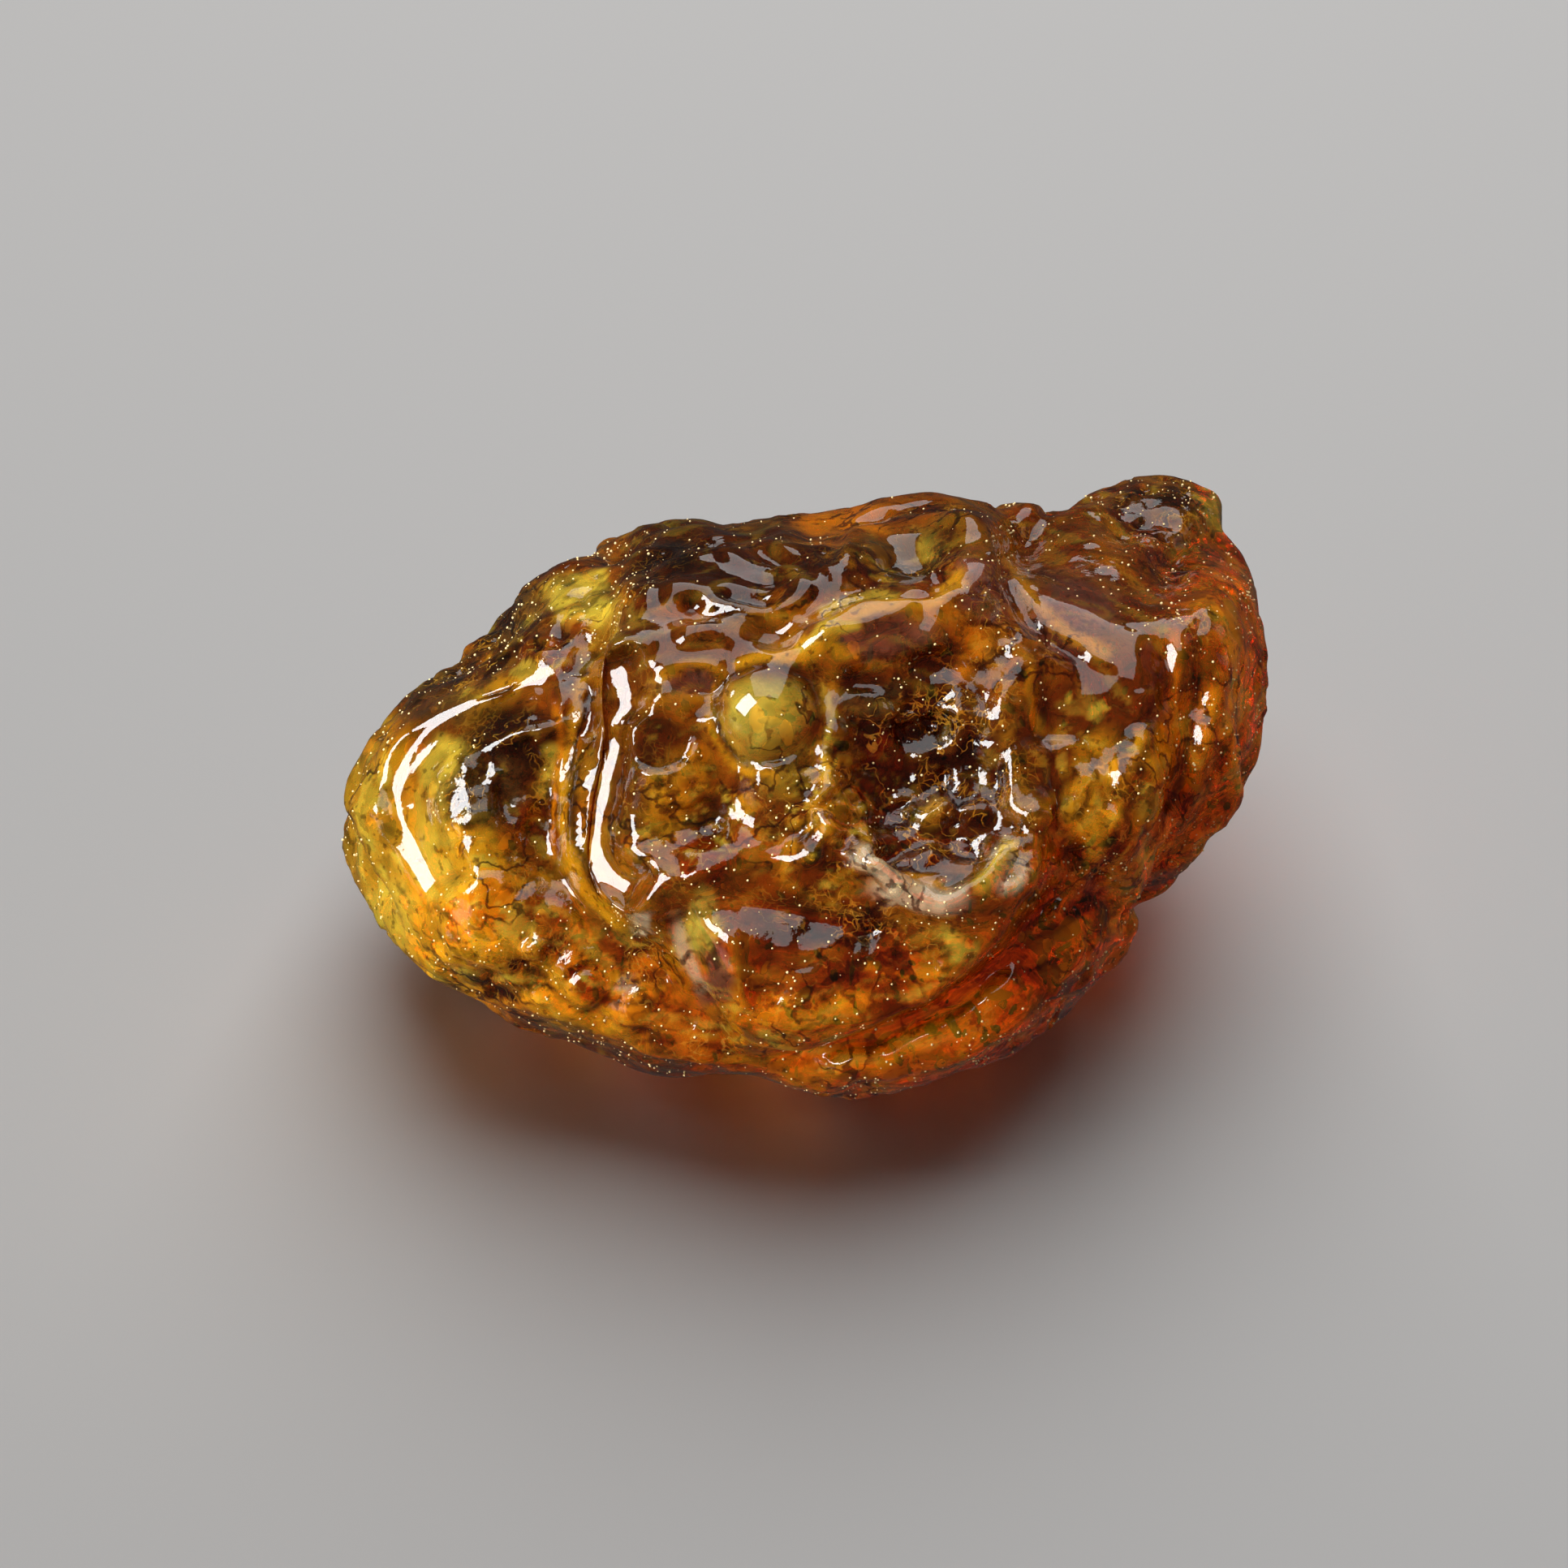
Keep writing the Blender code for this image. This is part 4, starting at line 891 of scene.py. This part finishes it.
def scatterTree():
    # grains strewn over a skin or sunk under it
    tree, given, result = newGroup("strewnGrains", "GeometryNodeTree", {
        "Skin": ("Geometry", None), "Density": ("Float", 1.0), "Smallest": ("Float", 0.0001),
        "Largest": ("Float", 0.0002), "Shallowest": ("Float", 0.0), "Deepest": ("Float", 0.001),
        "Width": ("Float", 1.0), "Thickness": ("Float", 1.0), "Clearance": ("Float", 0.0),
        "Rounds": ("Int", 1), "Seed": ("Int", 0), "Finish": ("Material", None)}, {"Grains": "Geometry"})
    share = node(tree, "GeometryNodeInputNamedAttribute", {"data_type": "FLOAT"}, Name="grainShare")
    density = maths(tree, "MULTIPLY", share.outputs["Attribute"], given.outputs["Density"])
    spread = node(tree, "GeometryNodeDistributePointsOnFaces", Mesh=given.outputs["Skin"], Density=density,
                  Seed=given.outputs["Seed"])
    depth = node(tree, "FunctionNodeRandomValue", {"data_type": "FLOAT"}, in2=given.outputs["Shallowest"],
                 in3=given.outputs["Deepest"], Seed=3).outputs[1]
    offset = scaled(tree, spread.outputs["Normal"], maths(tree, "MULTIPLY", depth, -1.0))
    sunk = node(tree, "GeometryNodeSetPosition", Geometry=spread.outputs["Points"], Offset=offset)
    size = node(tree, "FunctionNodeRandomValue", {"data_type": "FLOAT"}, in2=given.outputs["Smallest"],
                in3=given.outputs["Largest"], Seed=5).outputs[1]
    # a grain stays where it lies deep enough behind the nearest skin, so none floats outside a fold
    nearest = node(tree, "GeometryNodeProximity", Target=given.outputs["Skin"])
    spot = node(tree, "GeometryNodeInputPosition")
    normal = node(tree, "GeometryNodeInputNormal")
    outward = node(tree, "GeometryNodeSampleNearestSurface", {"data_type": "FLOAT_VECTOR"},
                   Mesh=given.outputs["Skin"], Value=normal.outputs["Normal"])
    rise = vectorMaths(tree, "SUBTRACT", nearest.outputs["Position"], spot.outputs["Position"])
    cover = vectorMaths(tree, "DOT_PRODUCT", rise, outward.outputs["Value"])
    room = maths(tree, "MULTIPLY", size, given.outputs["Clearance"])
    tooNear = node(tree, "FunctionNodeCompare", {"operation": "LESS_THAN"}, in0=cover, in1=room)
    kept = node(tree, "GeometryNodeDeleteGeometry", Geometry=sunk.outputs["Geometry"],
                Selection=tooNear.outputs["Result"])
    width = maths(tree, "MULTIPLY", size, given.outputs["Width"])
    thick = maths(tree, "MULTIPLY", size, given.outputs["Thickness"])
    scale = node(tree, "ShaderNodeCombineXYZ", X=size, Y=width, Z=thick)
    spin = node(tree, "FunctionNodeRandomValue", {"data_type": "FLOAT_VECTOR"}, in0=(0.0, 0.0, 0.0),
                in1=(math.tau, math.tau, math.tau), Seed=7)
    turn = node(tree, "FunctionNodeEulerToRotation", Euler=spin.outputs[0])
    grain = node(tree, "GeometryNodeMeshIcoSphere", Radius=1.0, Subdivisions=given.outputs["Rounds"])
    placed = node(tree, "GeometryNodeInstanceOnPoints", Points=kept.outputs["Geometry"],
                  Instance=grain.outputs["Mesh"], Rotation=turn.outputs[0], Scale=scale.outputs["Vector"])
    real = node(tree, "GeometryNodeRealizeInstances", Geometry=placed.outputs["Instances"])
    finished = node(tree, "GeometryNodeSetMaterial", Geometry=real.outputs["Geometry"],
                    Material=given.outputs["Finish"])
    tree.links.new(finished.outputs["Geometry"], result.inputs["Grains"])
    return tree


strewnGrains = scatterTree()


def strewn(name, share, material, **values):
    # grains of one kind as a plain mesh of their own
    bed = bpy.data.objects.new(name + "Bed", body.data.copy())
    bpy.context.scene.collection.objects.link(bed)
    storeShare(bed.data, "grainShare", share)
    modifier = bed.modifiers.new("Strewn grains", "NODES")
    modifier.node_group = strewnGrains
    for item in strewnGrains.interface.items_tree:
        if item.in_out == "INPUT" and item.name in values:
            modifier[item.identifier] = values[item.name]
        if item.name == "Finish":
            modifier[item.identifier] = material
    grains = applied(bed, name)
    grains.data.shade_smooth()
    print(name, len(grains.data.polygons), "faces")
    return grains


perArea = 1e6       # grains a square millimetre as grains a square metre
inner = np.minimum(points - np.array(cadBox[0]), np.array(cadBox[1]) - points).min(axis=1)
clearOfBox = easeStep(0.15 * mm, 0.4 * mm, inner)
patchy = 0.35 + 0.65 * easeStep(-0.15, 0.3, noiseField(points, 5 * mm, 121.0))

surfaceSpecks = {
    "Density": 1.15 * perArea, "Smallest": 0.03 * mm, "Largest": 0.11 * mm,
    "Shallowest": -0.02 * mm, "Deepest": 0.06 * mm, "Clearance": -2.0, "Rounds": 1, "Seed": 11,
}
darkCrumbs = {
    "Density": 0.16 * perArea, "Smallest": 0.12 * mm, "Largest": 0.55 * mm, "Width": 0.6, "Thickness": 0.35,
    "Shallowest": 0.6 * mm, "Deepest": 3.5 * mm, "Clearance": 1.2, "Rounds": 1, "Seed": 23,
}
goldVeils = {
    "Density": 0.10 * perArea, "Smallest": 0.3 * mm, "Largest": 1.2 * mm, "Width": 0.7, "Thickness": 0.12,
    "Shallowest": 1.0 * mm, "Deepest": 4.0 * mm, "Clearance": 1.3, "Rounds": 2, "Seed": 31,
}
airBubbles = {
    "Density": 0.014 * perArea, "Smallest": 0.15 * mm, "Largest": 0.5 * mm,
    "Shallowest": 0.7 * mm, "Deepest": 2.2 * mm, "Clearance": 1.3, "Rounds": 2, "Seed": 43,
}

speckFinish = newMaterial("creamDust", Base_Color=(0.84, 0.64, 0.30, 1.0), Roughness=0.35)[0]
crumbFinish = newMaterial("darkCrumb", Base_Color=(0.025, 0.010, 0.004, 1.0), Roughness=0.5)[0]
veilFinish = newMaterial("goldVeil", Base_Color=(0.90, 0.42, 0.04, 1.0), Roughness=0.4)[0]
airFinish = newMaterial("airInResin", Base_Color=(1.0, 1.0, 1.0, 1.0), Roughness=0.0, IOR=0.65,
                        Transmission_Weight=1.0)[0]

pieces = [body]
dusty = clearOfBox * patchy * (1.0 - 0.85 * calm) * (0.2 + 0.8 * facing)
pieces.append(strewn("surfaceSpecks", dusty, speckFinish, **surfaceSpecks))
pieces.append(strewn("darkCrumbs", clearOfBox * easeStep(2 * mm, 5 * mm, points[:, 2]), crumbFinish, **darkCrumbs))
pieces.append(strewn("goldVeils", clearOfBox * easeStep(4 * mm, 8 * mm, points[:, 2]), veilFinish, **goldVeils))
pieces.append(strewn("airBubbles", clearOfBox * easeStep(3 * mm, 6 * mm, points[:, 2]), airFinish, **airBubbles))

for piece in pieces:
    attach(piece, "root")
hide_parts("raw_amber")

# floor, lights and camera
studio = {
    "floorSize": 3.0,
    "floorDrop": 0.1 * mm,
    "floorTone": (0.70, 0.69, 0.68),
    "worldTone": (0.86, 0.82, 0.80),
    "worldStrength": 0.045,
    "backdrop": 0.5,                       # added where the camera sees past the floor
}

softBoxes = {     # place, width, height, power
    "keyBox": ((-0.29, -0.14, 0.33), 0.21, 0.28, 3.3),
    "overhead": ((0.02, 0.25, 0.55), 0.58, 0.92, 3.6),
    "rimBox": ((0.36, 0.16, 0.20), 0.10, 0.30, 0.7),
    "fillBox": ((-0.32, -0.16, 0.03), 0.20, 0.10, 1.5),
}


def pointed(thing, aim):
    thing.rotation_euler = (Vector(aim) - thing.location).to_track_quat("-Z", "Y").to_euler()


def softLight(name, place, width, height, power):
    lamp = bpy.data.lights.new(name, "AREA")
    lamp.shape = "RECTANGLE"
    lamp.size, lamp.size_y, lamp.energy = width, height, power
    holder = bpy.data.objects.new(name, lamp)
    bpy.context.scene.collection.objects.link(holder)
    holder.location = place
    pointed(holder, heart)
    return holder


def paleFloor():
    half, level = studio["floorSize"] / 2, -studio["floorDrop"]
    mesh = bpy.data.meshes.new("floor")
    corners = [(-half, -half, level), (half, -half, level), (half, half, level), (-half, half, level)]
    mesh.from_pydata(corners, [], [(0, 1, 2, 3)])
    mesh.materials.append(newMaterial("paleFloor", Base_Color=(*studio["floorTone"], 1.0), Roughness=0.75)[0])
    floor = bpy.data.objects.new("floor", mesh)
    bpy.context.scene.collection.objects.link(floor)
    floor.visible_glossy = False           # keeps the resin's grazing reflections deep


paleFloor()
lamps = {name: softLight(name, *values) for name, values in softBoxes.items()}
lit = bpy.data.collections.new("litByBoxes")
for piece in pieces:
    lit.objects.link(piece)
for name in ("keyBox", "rimBox", "fillBox"):
    lamps[name].light_linking.receiver_collection = lit
for name in ("rimBox", "fillBox"):
    lamps[name].visible_glossy = False     # lifts one end without a highlight of its own
bpy.context.scene.view_settings.view_transform = "Standard"

world = bpy.data.worlds.new("studio")
bpy.context.scene.world = world
world.use_nodes = True
sky = world.node_tree.nodes["Background"]
sky.inputs["Color"].default_value = (*studio["worldTone"], 1.0)
ray = world.node_tree.nodes.new("ShaderNodeLightPath")
strength = maths(world.node_tree, "MULTIPLY_ADD", ray.outputs["Is Camera Ray"], studio["backdrop"],
                 studio["worldStrength"])
world.node_tree.links.new(strength, sky.inputs["Strength"])

camera = bpy.data.objects.new("camera", bpy.data.cameras.new("camera"))
bpy.context.scene.collection.objects.link(camera)
camera.data.lens = sight["lens"]
camera.data.clip_start = 0.01
camera.location = heart + outAxis * sight["distance"]
pointed(camera, heart)
bpy.context.scene.camera = camera
